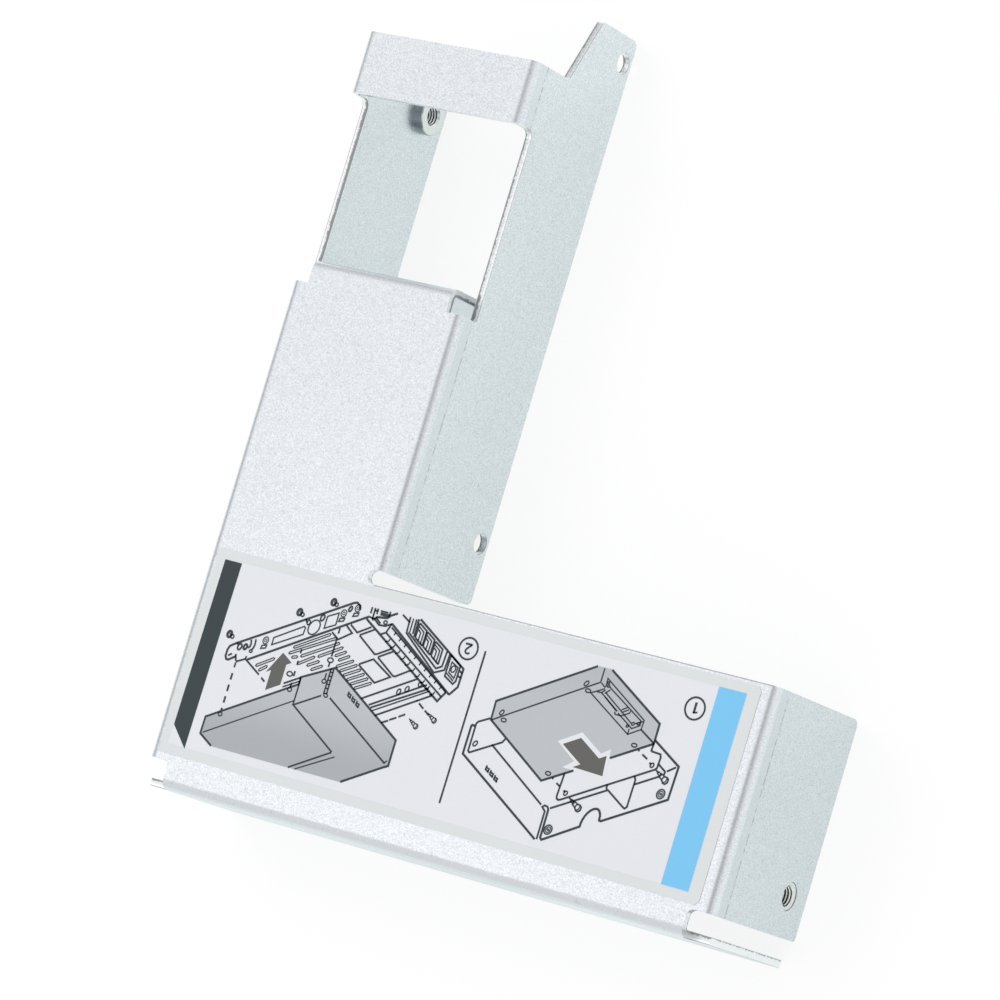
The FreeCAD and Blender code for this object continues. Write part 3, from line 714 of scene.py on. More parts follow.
@dataclass
class ClinchNut:
    """A self-clinching nut with its thread cut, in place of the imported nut.

    Sizes are in millimetres. The thread's crest and flank are shares of half its pitch.
    """

    node: str
    facing: Facing
    shank_radius: float = 2.11
    shank_length: float = 1.08
    shank_edge: float = 0.05
    body_radius: float = 3.15
    body_thickness: float = 1.5
    body_edge: float = 0.03
    chamfer: float = 0.2
    mouth_radius: float = 1.7
    minor_radius: float = 1.25
    thread_depth: float = 0.27
    pitch: float = 0.5
    crest: float = 0.15
    flank: float = 0.75
    corner_share: float = 0.03
    around: int = 96
    along: int = 72

    @property
    def length(self) -> float:
        """The nut's whole length."""
        return self.shank_length + self.body_thickness

    def profile(self) -> tuple[np.ndarray, np.ndarray, np.ndarray]:
        """The closed half section as depth and radius, and where it lies on the bore.

        The bore runs from the back to the shank's end in even steps. The rest goes from there over the shank,
        the shoulder and the body back to the bore, with points close to each corner to keep it crisp.

        Returns:
            Depth and radius of each point, and True for the points of the bore.
        """
        total = self.length
        bore = np.linspace(total, 0.0, self.along)
        corners = np.array([
            (0.0, self.mouth_radius),
            (0.0, self.shank_radius - self.shank_edge),
            (self.shank_edge, self.shank_radius),
            (self.shank_length, self.shank_radius),
            (self.shank_length, self.body_radius - self.body_edge),
            (self.shank_length + self.body_edge, self.body_radius),
            (total - self.chamfer, self.body_radius),
            (total, self.body_radius - self.chamfer),
            (total, self.mouth_radius),
        ])
        starts, ends = corners[:-1], corners[1:]
        steps = np.array([0.0, self.corner_share, 1.0 - self.corner_share])[None, :, None]
        outside = (starts[:, None, :] + (ends - starts)[:, None, :] * steps).reshape(-1, 2)[1:]
        depth = np.concatenate([bore, outside[:, 0]])
        radius = np.concatenate([np.full(self.along, self.minor_radius), outside[:, 1]])
        return depth, radius, np.arange(len(depth)) < self.along

    def build(self, material: Material) -> None:
        """Builds the nut as the profile turned about its axis.

        In the bore the radius is the larger of two: the cone of either mouth, which shrinks by its distance
        from the face, and the thread, whose minor radius grows by a saw of the thread's depth that repeats
        with the depth over the pitch plus the angle over a full turn.

        Args:
            material: The nut's finish.
        """
        depth, radius, in_bore = self.profile()
        angle = np.linspace(0.0, 2 * math.pi, self.around, endpoint=False)
        depth_grid, angle_grid = np.meshgrid(depth, angle, indexing="ij")
        turns = depth_grid / self.pitch + angle_grid / (2 * math.pi)
        saw = np.abs((turns % 1.0) - 0.5) * 2.0
        deep = np.clip((saw - self.crest) / self.flank, 0.0, 1.0)
        cut = self.minor_radius + self.thread_depth * deep
        cone = self.mouth_radius - np.minimum(depth_grid, self.length - depth_grid)
        radii = np.where(in_bore[:, None], np.maximum(cut, cone), radius[:, None])
        low, high = (np.array(corner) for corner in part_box(self.node))
        middle = (low + high) / 2
        sign = self.facing.value
        start = low[0] if sign > 0 else high[0]
        points = np.stack([
            start + sign * depth_grid * MM,
            middle[1] + radii * np.cos(angle_grid) * MM,
            middle[2] + sign * radii * np.sin(angle_grid) * MM,
        ], axis=-1)
        faces = grid_faces(len(depth), self.around, True, True)
        piece = make_object(self.node + "_threaded", points.reshape(-1, 3), faces, True)
        on_rim = radius > self.body_radius - self.body_edge / 2
        around_body = ~in_bore & (depth > self.shank_length) & on_rim
        # thread_root_shade marks where painted shade darkens the bore's roots.
        mark_points(piece, "thread_root_shade", np.where(in_bore[:, None] & (cut > cone), deep, 0.0))
        # body_side_shade marks the body's side for its painted shade.
        mark_points(piece, "body_side_shade", np.repeat(around_body, self.around))
        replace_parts(piece, self.node)
        finish_piece(piece, material)


HEAVY = 0.34
MEDIUM = 0.285
FINE = 0.215
OVAL_POINTS = 20


@dataclass(frozen=True)
class Stroke:
    """A printed line through points in millimetres on the plate."""

    points: np.ndarray
    closed: bool = False
    width: float = MEDIUM


def line(*points: Point, closed: bool = False, width: float = MEDIUM) -> Stroke:
    """A stroke through points."""
    return Stroke(np.array(points, float), closed, width)


def oval(middle: Point, long: float, short: float, tilt: float = 0.0, width: float = FINE) -> Stroke:
    """A closed oval stroke: its middle plus the cosine along its long axis and the sine along the other."""
    angle = np.linspace(0.0, 2 * math.pi, OVAL_POINTS, endpoint=False)
    turn = math.radians(tilt)
    along = np.array([math.cos(turn), math.sin(turn)]) * long
    across = np.array([-math.sin(turn), math.cos(turn)]) * short
    points = np.array(middle) + np.cos(angle)[:, None] * along + np.sin(angle)[:, None] * across
    return Stroke(points, True, width)


def dashed(start: Point, end: Point, dash: float, gap: float, width: float) -> list[Stroke]:
    """Even dashes from start to end."""
    first, last = np.array(start, float), np.array(end, float)
    length = float(np.linalg.norm(last - first))
    ahead = (last - first) / length
    starts = np.arange(0.0, length, dash + gap)
    runs = [np.array([first + ahead * s, first + ahead * min(s + dash, length)]) for s in starts]
    return [Stroke(run, False, width) for run in runs]


def unit_rows(vectors: np.ndarray) -> np.ndarray:
    """Each row's direction, as a row of length one."""
    return vectors / np.maximum(np.linalg.norm(vectors, axis=1, keepdims=True), TINY)


def at_height(places: np.ndarray, height: float) -> np.ndarray:
    """Places on the plate as points at a height."""
    return np.column_stack([places, np.full(len(places), height)])


@dataclass
class LineArt:
    """Printed strokes and flat fields as one piece of thin closed solids on the label's panel.

    Places are read off as seen on the plate, so they are moved by the shift that the print's height makes.
    Its underside is sunk a little into the panel, and sharpest is the least cosine of half a turn.
    """

    name: str
    strokes: list[Stroke]
    fields: list[list[Point]]
    slot: Slot
    top: float
    shift: Point = (0.12, -0.03)
    sunk: float = 0.005
    sharpest: float = 0.4

    def on_plate(self, points: np.ndarray) -> np.ndarray:
        """Places in millimetres on the plate as places in metres in the row frame."""
        return np.array(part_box("bracket")[0])[:2] + (points + np.array(self.shift)) * MM

    def strip(self, stroke: Stroke, base: float) -> tuple[np.ndarray, list[list[int]]]:
        """One stroke as a strip with a flat top.

        Each point is moved to both sides along its mitre, the mean of its two runs' normals, by half the
        width over the cosine of half the turn, and both are taken at the base and at the top.

        Args:
            stroke: The line.
            base: Height of its underside, in metres.

        Returns:
            Points in the row frame and faces.
        """
        path = stroke.points
        ahead = unit_rows(np.roll(path, -1, axis=0) - path)
        behind = np.roll(ahead, 1, axis=0)
        if not stroke.closed:
            ahead[-1] = ahead[-2]
            behind[0] = ahead[0]
        mean = unit_rows(ahead + behind)
        stretch = 1.0 / np.clip((mean * ahead).sum(axis=1, keepdims=True), self.sharpest, 1.0)
        side = np.stack([-mean[:, 1], mean[:, 0]], axis=1) * stretch * stroke.width / 2
        left, right = (self.on_plate(path + side * sign) for sign in (1, -1))
        corners = [(left, base), (right, base), (right, self.top), (left, self.top)]
        ring = np.stack([at_height(flat, height) for flat, height in corners], axis=1)
        faces = grid_faces(len(path), 4, stroke.closed, True).tolist()
        if not stroke.closed:
            last = 4 * (len(path) - 1)
            faces += [[0, 1, 2, 3], [last + 3, last + 2, last + 1, last]]
        return ring.reshape(-1, 3), faces

    def flat(self, outline: list[Point], base: float) -> tuple[np.ndarray, list[list[int]]]:
        """A flat field through points that go round to the left, as a thin prism."""
        corners = self.on_plate(np.array(outline, float))
        count = len(corners)
        points = np.vstack([at_height(corners, height) for height in (base, self.top)])
        sides = grid_faces(2, count, False, True).tolist()
        return points, sides + [list(range(count))[::-1], list(range(count, 2 * count))]

    def build(self, material: Material) -> Piece:
        """Builds all strokes and fields as one piece.

        Args:
            material: The ink.

        Returns:
            The piece.
        """
        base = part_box("label_panel")[1].z - self.sunk * MM
        solids = [self.strip(stroke, base) for stroke in self.strokes]
        solids += [self.flat(outline, base) for outline in self.fields]
        faces, count = [], 0
        for points, solid_faces in solids:
            faces += [[count + number for number in face] for face in solid_faces]
            count += len(points)
        piece = make_object(self.name, np.vstack([points for points, _ in solids]), faces, False)
        finish_piece(piece, material)
        return piece


@dataclass
class PrintedLabel:
    """The label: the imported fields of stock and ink, and the fine lines of its drawings.

    The grey fields and the arrows' halos end a little below the lines' top, in millimetres.
    """

    grey_below: float = 0.01
    halo_below: float = 0.005
    inks: dict[str, InkFinish] = field(default_factory=lambda: {
        "label": InkFinish("label_stock", (0.783, 0.808, 0.817)),
        "label_panel": InkFinish("pale_panel", (0.838, 0.855, 0.894)),
        "label_print_blue": InkFinish("blue_ink", (0.218, 0.621, 0.965)),
        "label_print_arrows": InkFinish("brown_ink", (0.133, 0.131, 0.125)),
        "label_print_grey": InkFinish("grey_ink", (0.545, 0.573, 0.6), fade=Fade()),
        "label_print_dark": InkFinish("dark_ink", (0.041, 0.055, 0.0615)),
    })

    def dress(self, groups: Groups) -> None:
        """Gives every packed field its ink and adds the fine lines."""
        materials = {node: ink.material(groups) for node, ink in self.inks.items()}
        for node, material in materials.items():
            dress_node(node, material)
        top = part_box("label_print_dark")[1].z
        grey = LineArt("label_grey_fields", [], grey_fields(), Slot.GREY, top - self.grey_below * MM)
        halos = LineArt("label_arrow_halos", [], arrow_halos(), Slot.PALE, top - self.halo_below * MM)
        strokes = number_rings() + slab_lines() + connector_lines() + carrier_lines()
        strokes += held_slab_lines() + tray_side_lines() + vent_lines() + tray_lines() + tray_front_lines()
        strokes += screw_heads()
        dark = LineArt("label_line_work", strokes, [POINTED_BAR], Slot.DARK, top)
        for art, node in ((grey, "label_print_grey"), (dark, "label_print_dark")):
            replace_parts(art.build(materials[node]), node)
        halos.build(materials["label_panel"])


POINTED_BAR = [(3.03, 9.75), (6.15, 6.64), (6.47, 35.66), (3.3, 35.68)]


def grey_fields() -> list[list[Point]]:
    """The grey areas of the two drawings, as outlines on the plate."""
    slab = [(57.0, 22.6), (68.2, 16.0), (84.5, 25.2), (84.5, 28.2), (74.5, 34.0), (72.0, 34.0), (57.0, 25.4)]
    held = [(8.2, 12.1), (8.1, 9.5), (10.7, 8.05), (34.9, 8.05), (41.4, 11.8), (42.2, 12.2), (42.2, 16.1),
            (28.3, 24.1), (27.0, 23.7), (22.8, 21.4), (22.8, 20.3)]
    return [slab, held]


def arrow_halos() -> list[list[Point]]:
    """The pale edges round the two arrows."""
    slide = [(69.0, 22.1), (72.6, 19.9), (71.0, 18.65), (78.4, 18.5), (78.0, 22.9), (76.6, 21.95),
             (72.6, 24.2)]
    lower = [(16.85, 17.9), (19.9, 19.3), (19.9, 22.5), (21.2, 23.1), (18.5, 24.8), (16.1, 20.5),
             (16.85, 20.7)]
    return [slide, lower]


def number_rings() -> list[Stroke]:
    """The ringed numerals, read from the label's other side, and the line between the drawings."""
    return [
        oval((89.4, 31.52), 1.62, 1.62, width=0.28), oval((49.8, 31.75), 1.62, 1.62, width=0.28),
        line((89.4, 32.4), (89.4, 30.8), width=0.36), line((89.3, 30.88), (89.95, 31.05), width=0.24),
        line((49.15, 32.4), (50.35, 32.4), width=0.3),
        line((50.25, 32.35), (49.6, 31.75), (49.4, 31.45), (49.4, 31.2), (49.6, 31.02), (49.9, 31),
             (50.2, 31.15), width=0.28),
        line((52.8, 32), (52.6, 9), width=0.3),
    ]


def nut_rings(middle: Point) -> list[Stroke]:
    """A nut seen at a slant: three rings round a point."""
    inner = [oval(middle, 0.44, 0.34, 60, 0.15), oval(middle, 0.14, 0.12, 0, 0.15)]
    return [oval(middle, 0.72, 0.6, 60), *inner]


def latch_marks(start: Point) -> list[Stroke]:
    """A row of three small latches in a wall, from the place of the first."""
    marks = []
    for x, y in ((start[0] + 0.92 * k, start[1] - 0.515 * k) for k in range(3)):
        marks.append(line((x, y), (x - 0.08, y - 0.62), (x + 0.57, y - 0.97), width=0.27))
        marks.append(line((x + 0.02, y - 0.32), (x + 0.5, y - 0.44), (x + 0.42, y - 0.85), width=0.25))
    return marks


def slab_lines() -> list[Stroke]:
    """The first drawing's slab: its outline, its folds and its holes."""
    holes = [((70.92, 31.13), 50), ((71.52, 30.17), 0), ((58.5, 24.0), 55), ((59.17, 23.0), 0),
             ((81.5, 24.3), 0), ((69.0, 17.25), 0)]
    return [oval(place, 0.44, 0.26, tilt) for place, tilt in holes] + [
        line((72.96, 18.6), (68.2, 16), (57.05, 22.6), (57, 25.4), (71.94, 33.92), width=HEAVY),
        line((74.44, 33.92), (84.55, 28.15), (84.54, 25.2), (78.2, 21.65), width=HEAVY),
        line((57.17, 22.6), (73.15, 31.8), (73.17, 33.9), width=0.24),
        line((73.3, 31.75), (74.15, 31.2), width=FINE), line((81.85, 26.7), (84.5, 25.27)),
    ]


def connector_lines() -> list[Stroke]:
    """The connector on the first drawing's slab: its block, its long slots and its ends."""
    paths = [
        ((74.15, 31.05), (72.8, 30.35), (72.04, 29.98), (79.92, 25.56), (81.85, 26.7), (81.94, 28.06),
         (74.15, 32.58), (74.2, 31.33)),
        ((79.92, 25.56), (79.92, 26.4)),
        ((74.75, 31.55), (75.3, 31.2), (81.5, 27.85)),
        ((74.35, 30.4), (75.1, 31.1)),
        ((74.45, 30.55), (80.0, 27.2)),
        ((73.77, 30.4), (77.0, 28.4)),
        ((77.4, 28.15), (80.3, 26.5), (81.5, 27.2), (81.45, 27.9)),
        ((74.6, 29.9), (77.2, 28.35)),
        ((76.75, 28.25), (77.0, 27.87), (78.0, 27.87), (79.25, 28.55), (79.35, 28.9)),
        ((77.8, 28.7), (78.7, 29.3)),
        ((78.1, 28.45), (79.0, 29.0)),
        ((80.6, 27.3), (81.85, 27.87)),
        ((73.0, 30.35), (73.8, 30.4), (74.3, 30.9)),
    ]
    ends = [((80.3, 27.2), 0.24), ((81.15, 27.4), 0.2), ((79.5, 26.7), 0.2), ((74.6, 31.55), 0.2),
            ((74.45, 32.0), 0.18)]
    return [line(*path, width=FINE) for path in paths] + [oval(place, r, r * 0.8, 30) for place, r in ends]


def carrier_lines() -> list[Stroke]:
    """The first drawing's carrier: its walls with the notch, its flaps, nuts and screws."""
    arch = [(76.6, 11.13), (76.6, 11.6), (76.72, 12.2), (76.92, 12.75), (77.2, 13.25), (77.55, 13.68),
            (77.95, 14.0), (78.35, 14.17), (78.7, 14.18), (79.0, 14.02), (79.22, 13.7), (79.36, 13.3),
            (79.4, 12.7), (79.7, 12.65)]
    strokes = [
        line((69.95, 7.67), (54.05, 16.8), (54.1, 21), (54.2, 21.15), (54.7, 21.15), width=HEAVY),
        line((70.75, 12.3), (70.77, 8.1), (71.05, 7.85), *arch, (89.35, 18.06), (89.54, 22.96),
             (84.58, 25.75), width=HEAVY),
        line((70.25, 7.75), (70.25, 11.9), (69.65, 12.4), (69.95, 12.7), (70.45, 12.65), (70.75, 12.3)),
        line((69.35, 12.67), (58.4, 19.15)),
        line((56.85, 22.75), (55.05, 21.85), (54.8, 21.5), (54.78, 17.4), (55.05, 17.2), (60, 19.85),
             (60.35, 20.45)),
        line((70.95, 12.5), (79.25, 17.1), (79.06, 17.45), (79.06, 17.96)),
        line((71.65, 17.87), (71.46, 14.5), (71.56, 14.12), (71.85, 13.96), (72.2, 14.08), (85.9, 21.7),
             (86.17, 22), (86.27, 23.54), (86.1, 24), (84.54, 24.1)),
        line((84.54, 25.3), (84.45, 24.05)),
        line((79.35, 17.2), (82.6, 15.37), (82.9, 15.27), (83.2, 15.56), (83.3, 19.6), (82.95, 20.1)),
        line((83.3, 18.9), (86.94, 20.94)), line((86.27, 22.58), (87.6, 21.8), (87.6, 21.3)),
        line((87.9, 21.9), (89.15, 22.77)), line((70.8, 16.23), (71.5, 15.9)),
        line((69.85, 16.8), (70.1, 16.7)), line((82.33, 23.83), (82.6, 23.7)),
        line((83.2, 23.35), (84.2, 22.87)), oval((55.6, 18.67), 0.44, 0.28, 55),
        oval((72.75, 15.17), 0.34, 0.26, 60), line((72.3, 15.5), (72.65, 15.25)),
        oval((85.25, 22.2), 0.34, 0.26, 60), line((84.73, 22.45), (85.1, 22.3)),
    ]
    strokes += nut_rings((71.65, 9.5)) + nut_rings((87.96, 18.58)) + latch_marks((58.65, 16.08))
    return strokes + screw((75.1, 13.8)) + screw((87.65, 20.8))


def screw(place: Point, size: float = 1.0, heading: float = -30.0) -> list[Stroke]:
    """A small screw seen from the side: its tip, its shank in two steps and its flared head with a rim.

    Args:
        place: Where the head begins to flare.
        size: Its size beside the largest one.
        heading: The way that it points, in degrees from the plate's right to its back.

    Returns:
        Its strokes.
    """
    turn = math.radians(heading)
    ahead = np.array([math.cos(turn), math.sin(turn)]) * size
    aside = np.array([-ahead[1], ahead[0]])
    parts = [
        (((-1.8, 0.0), (-1.2, 0.0)), False, 0.25),
        (((-1.25, -0.15), (-1.25, 0.15), (-0.75, 0.2), (-0.75, -0.2)), True, 0.2),
        (((-0.65, -0.28), (-0.65, 0.28), (-0.1, 0.32), (-0.1, -0.32)), True, 0.22),
        (((-0.05, -0.32), (0.4, -0.52), (0.75, -0.42), (0.92, 0.0), (0.75, 0.42), (0.4, 0.52), (-0.05, 0.32)),
         False, 0.25),
        (((0.4, -0.48), (0.6, 0.0), (0.4, 0.48)), False, 0.16),
    ]
    strokes = []
    for path, closed, width in parts:
        points = np.array(place) + np.array(path) @ np.stack([ahead, aside])
        strokes.append(Stroke(points, closed, width * size))
    return strokes


def screw_heads() -> list[Stroke]:
    """Three dark screws behind the tray's side, each a head with the ring of its shank beside it."""
    heads = []
    for x, y in ((8.15, 25.0), (19.3, 30.8), (24.7, 33.5)):
        heads += [
            oval((x - 0.1, y - 0.05), 0.47, 0.38, 74, 0.4), oval((x + 0.5, y - 0.3), 0.3, 0.28, width=0.22),
            line((x - 0.15, y + 0.08), (x + 0.02, y - 0.1), width=0.2),
        ]
    return heads


def held_slab_lines() -> list[Stroke]:
    """The second drawing's bracket with the slab held in it: outline, folds, the corner's chain and marks."""
    strokes = [
        line((10.7, 8.1), (8.15, 9.5), (8.2, 12.1), (22.8, 20.35), (22.8, 21.45), (28.3, 24.1),
             (42.2, 16.1), (42.2, 12.2), (41.4, 11.8), (34.9, 8.1), width=HEAVY),
        line((8.5, 9.7), (22.8, 17.8), width=FINE), line((22.85, 21.3), (22.85, 17.25)),
        line((27.25, 19.6), (22.9, 17.2), (31.95, 11.95)), line((28.83, 19.6), (41.5, 12.4)),
        line((31.9, 11.9), (25.2, 8.1)), line((32.7, 11.4), (26.4, 8.1), width=FINE),
        line((41.3, 12.4), (41.8, 12.9), width=FINE), line((27.58, 23.9), (27.58, 19.9)),
        line((28.08, 23.9), (28.08, 19.9)), oval((28, 19.8), 0.38, 0.26, -20),
        line((20.1, 19.9), (22.8, 21.4)), line((20.1, 19.35), (22.8, 20.85), width=FINE),
        oval((10.63, 13.03), 0.34, 0.28), oval((21.47, 19.25), 0.36, 0.3), oval((27, 21.75), 0.36, 0.3),
        line((10.63, 21.1), (10.63, 20.3)), line((21.47, 22.1), (21.47, 21.3)),
        line((21.47, 20.3), (21.47, 19.6)), line((27, 23), (27, 22.1)), oval((20.67, 21.5), 0.5, 0.34),
    ]
    strokes += [line((27.6, 23.3 - 0.62 * k), (28.1, 23.3 - 0.62 * k), width=FINE) for k in range(5)]
    return strokes + dashed((10.62, 19.4), (10.62, 13.6), 1.0, 0.8, HEAVY) + latch_marks((31.85, 21.25))


def tray_side_lines() -> list[Stroke]:
    """The side of the second drawing's tray: its edges, slot, openings, ears and knobs."""
    strokes = [
        line((10.25, 22.3), (10.25, 21.92), (9.17, 21.2), (8.75, 21.2), (8.47, 21.67), (8.5, 22.67),
             (8.75, 23.25), (9.5, 23.75), (28.17, 34.1), (28.67, 34.25), (29.33, 33.9),
             (29.5, 33.3), width=HEAVY),
        line((8.9, 21.8), (9.5, 22.2)),
        line((10.3, 22), (10.5, 21.42), (10.75, 21.27), (12.17, 21.95), (12.17, 22.4)),
        line((12.5, 21.92), (31.4, 32.67), width=HEAVY), line((12.2, 21.92), (15.33, 20.2)),
        line((15.9, 19.87), (16.67, 19.4)), line((9.75, 24.05), (10.2, 23.7)),
        line((20.6, 30.1), (21, 29.5)), oval((10.5, 23.5), 0.48, 0.32, 70, MEDIUM),
        oval((11.5, 23.7), 0.42, 0.28, 70, HEAVY),
        line((12.17, 24.95), (12.35, 24.4), (12.3, 23.9), (12, 23.65)),
        line((12.98, 25.2), (13.08, 24.4), (12.95, 23.8), (12.75, 23.5)), oval((12.67, 23.28), 0.25, 0.2),
        oval((21.3, 29.6), 0.36, 0.26, 70), oval((22.47, 29.1), 1.22, 0.9, 62),
        oval((23.47, 30.8), 0.5, 0.3, 75, MEDIUM),
        line((16, 25), (16, 26.1), (20.75, 28.87), (21, 28.7), (20.92, 27.67), closed=True, width=FINE),
        line((24.25, 29.33), (24.25, 31.17), (26.08, 32.08), (26.08, 30.25), closed=True, width=FINE),
        oval((27.83, 33.08), 0.42, 0.24, 70, MEDIUM),
    ]
    for x, y in ((14.75, 25.4), (26.9, 32.2), (29.08, 33.45)):
        strokes += [oval((x, y), 0.56, 0.46, 70, 0.17), oval((x, y), 0.24, 0.18, 70, 0.12)]
        ear = (x - 0.5, y - 1.35), (x - 0.4, y - 0.85), (x + 0.4, y - 0.65), (x + 0.35, y - 1.1)
        strokes.append(line(*ear, closed=True, width=FINE))
    return strokes


def vent_lines() -> list[Stroke]:
    """The second drawing's vent slots, each a narrow loop, and the dashes of its hidden lines."""
    slots = [((20.1, 25.5), (25.6, 28.65)), ((19.6, 24.5), (26.8, 28.3)), ((21.8, 24.5), (27.6, 27.7)),
             ((24.8, 25.1), (28.4, 27.2)), ((27.7, 25.85), (29.2, 26.7)), ((28.5, 25.35), (30.0, 26.2))]
    slots += [((28.45 + 0.83 * k, 24.36 - 0.49 * k), (30.9 + 0.83 * k, 25.7 - 0.5 * k)) for k in range(6)]
    slots += [((21.67, 23.33), (24.0, 24.8)), ((23.33, 23.42), (25.0, 24.33)), ((24.25, 22.95), (25.8, 23.8)),
              ((14.45, 21.45), (17.1, 23.05)), ((15.2, 20.9), (16.2, 21.65)), ((20.3, 24.0), (21.0, 24.2))]
    return [slot_loop(start, end) for start, end in slots] + [
        line((27, 29.95), (27, 29.1)), line((27, 28.3), (27, 25.55)), oval((27, 25), 0.5, 0.34),
        line((27, 24.65), (27, 23.95)), line((21.47, 25.5), (21.47, 24.85)),
        line((21.47, 23.7), (21.47, 23.05)),
    ]


def slot_loop(start: Point, end: Point, reach: float = 0.17) -> Stroke:
    """A narrow closed loop round the line from start to end, as wide as its reach, with bevelled ends."""
    first, last = np.array(start), np.array(end)
    ahead = (last - first) / np.linalg.norm(last - first)
    aside = np.array([-ahead[1], ahead[0]])
    corners = [first - ahead * reach, first + aside * reach, last + aside * reach, last + ahead * reach,
               last - aside * reach, first - aside * reach]
    return Stroke(np.array(corners), True, reach)


def tray_lines() -> list[Stroke]:
    """The floor of the second drawing's tray: its openings, its rails and what holds it at the back."""
    strokes = [
        line((28, 30.58), (29.33, 29.67), (27.25, 28.25), (25.83, 29.08)),
        line((28.7, 30.85), (30.17, 29.95), (32.33, 31.25)),
        line((33, 31), (30.85, 29.75), (30.85, 29.55), (34.25, 27.5), (34.6, 27.58), (36.92, 28.92)),
        line((37.33, 28.58), (35.08, 27.3), (35.1, 27.1), (38.5, 25.08), (38.85, 25.1), (41, 26.42)),
        line((34.33, 26.75), (32.2, 25.55), (32.2, 25.35), (35.67, 23.42), (38.08, 24.83), closed=True),
        line((31.1, 32.25), (47.17, 23.17), (48.2, 24.75), width=HEAVY), line((35.2, 30.95), (47.6, 23.95)),
        line((35.67, 32.5), (48.83, 24.53), width=HEAVY), line((35.83, 31.95), (48.2, 24.75)),
        line((35.67, 32.5), (35.1, 31), (34.3, 30.6)), line((34.17, 20.67), (42.75, 25.58)),
        line((35.83, 20.08), (44.67, 25.1)), line((36.25, 19.75), (45.17, 24.6)),
        line((36.58, 19.33), (45.5, 24.35), width=FINE), line((37.42, 18.83), (46.08, 23.8)),
        line((31.42, 32.67), (32.5, 32.5), (33.5, 31.83), (34.67, 31.92), (35.67, 32.45)),
        line((32.6, 32.83), (33.67, 32.1)),
        line((36.17, 34.17), (35.08, 33.6), (34.67, 33.15), (33.67, 33), (32.83, 32.9),
             (32.1, 32.3), width=HEAVY),
        line((33.2, 33.5), (34.9, 33.5), width=0.5), line((33.1, 33.92), (34.5, 33.92), width=0.25),
        line((31.5, 34.15), (31.5, 33.2)), line((32.08, 34.15), (32.08, 32.4)),
        line((32.6, 34.15), (32.6, 33.3)), line((34.83, 34.15), (34.83, 33.5)),
        line((32.08, 33.75), (32.6, 33.8)), line((37.08, 34.17), (38.7, 33.3)),
        oval((34.5, 32.42), 0.3, 0.26), oval((40.25, 23.08), 0.44, 0.28, 70),
        oval((41.53, 23.75), 0.44, 0.28, 70), oval((43.5, 24.92), 0.36, 0.28, 70),
    ]
    rungs = ((36.15 + 1.13 * k, 30.25 - 0.65 * k) for k in range(10))
    strokes += [line((x, y), (x - 0.15, y - 0.35), (x - 0.75, y - 0.6), width=FINE) for x, y in rungs]
    hooks = ((36.83 + 1.15 * k, 31.42 - 0.667 * k) for k in range(10))
    strokes += [line((x, y), (x - 0.25, y - 0.5), width=FINE) for x, y in hooks]
    strokes += [
        line((38.83, 18.03), (39.92, 18.6)), line((40.07, 18.73), (41.17, 19.33)),
        line((41.46, 19.52), (42.5, 20.12)), line((43.7, 22.55), (43.9, 22.42)),
        line((44.25, 22.2), (45.25, 21.6)), line((45.58, 21.4), (46.4, 20.9)),
    ]
    return strokes + screw((47.35, 20.5), 0.76) + screw((44.55, 18.98), 0.76)


def tray_front_lines() -> list[Stroke]:
    """The front of the second drawing's tray: its frame, its three nested grips and the latch at its end."""
    strokes = [
        line((40.33, 34.17), (50, 28.67), (49.92, 25.92), (48.83, 24.53), width=HEAVY),
        line((38.5, 34.15), (38.6, 31.7), (45.17, 27.08), (46.83, 27.83), (47, 30.3)),
        line((38.9, 31.9), (45.33, 27.75), (46.25, 28.25), (46.4, 30.6)),
        line((39.1, 34), (39.1, 32), width=FINE), line((39.65, 34), (39.7, 31.8)),
        line((40.05, 34.1), (40.1, 31.4), width=0.35),
        line((47.25, 30.17), (47.2, 27), (48.92, 26.17), (49.3, 26.67), (49.33, 29), closed=True),
        line((47.75, 29.25), (47.7, 27.67), (48.83, 27), (49, 28.67), closed=True, width=FINE),
        line((47.33, 27.5), (48.83, 26.6), width=FINE), oval((48.3, 28.3), 0.5, 0.36, 75),
        line((49.4, 28.3), (50, 28)), line((49.4, 27.5), (50, 27.3)),
    ]
    for x, y in ((40.42, 33.58), (42.17, 32.6), (44.0, 31.55)):
        strokes += [
            line((x, y), (x + 1.55, y - 0.87), (x + 1.5, y - 3.15)),
            line((x + 0.05, y - 0.5), (x + 1.1, y - 1.15), (x + 1.05, y - 2.95), width=FINE),
            line((x + 0.05, y - 0.95), (x + 0.58, y - 1.35), (x + 0.52, y - 2.65), width=FINE),
            line((x - 0.05, y), (x - 0.1, y - 2.2)), line((x - 0.1, y - 2.2), (x + 1.5, y - 3.15)),
        ]
    return strokes


# Studio


@dataclass(frozen=True)
class Lobe:
    """A soft round patch of the studio's light: its direction, inner and outer half angle and strength."""

    direction: tuple[float, float, float]
    inner: float
    outer: float
    strength: float


@dataclass(frozen=True)
class Step:
    """A smooth change of the floor's mirrored light over a band of places, in metres, along an axis."""

    axis: int
    band: Band
    change: float


@dataclass(frozen=True)
class Lamp:
    """A round soft lamp that faces the part, and either lights it or is only mirrored in it.

    Its place and width are in metres and its power is in watts.
    """

    name: str
    place: tuple[float, float, float]
    width: float
    power: float
    mirrored: bool

    def build(self) -> None:
        """Hangs the lamp."""
        data = bpy.data.lights.new(self.name, "AREA")
        data.shape, data.size, data.energy = "DISK", self.width, self.power
        lamp = bpy.data.objects.new(self.name, data)
        lamp.location = self.place
        lamp.rotation_euler = (-Vector(self.place)).to_track_quat("-Z", "Y").to_euler()
        lamp.visible_glossy, lamp.visible_diffuse = self.mirrored, not self.mirrored
        bpy.context.scene.collection.objects.link(lamp)


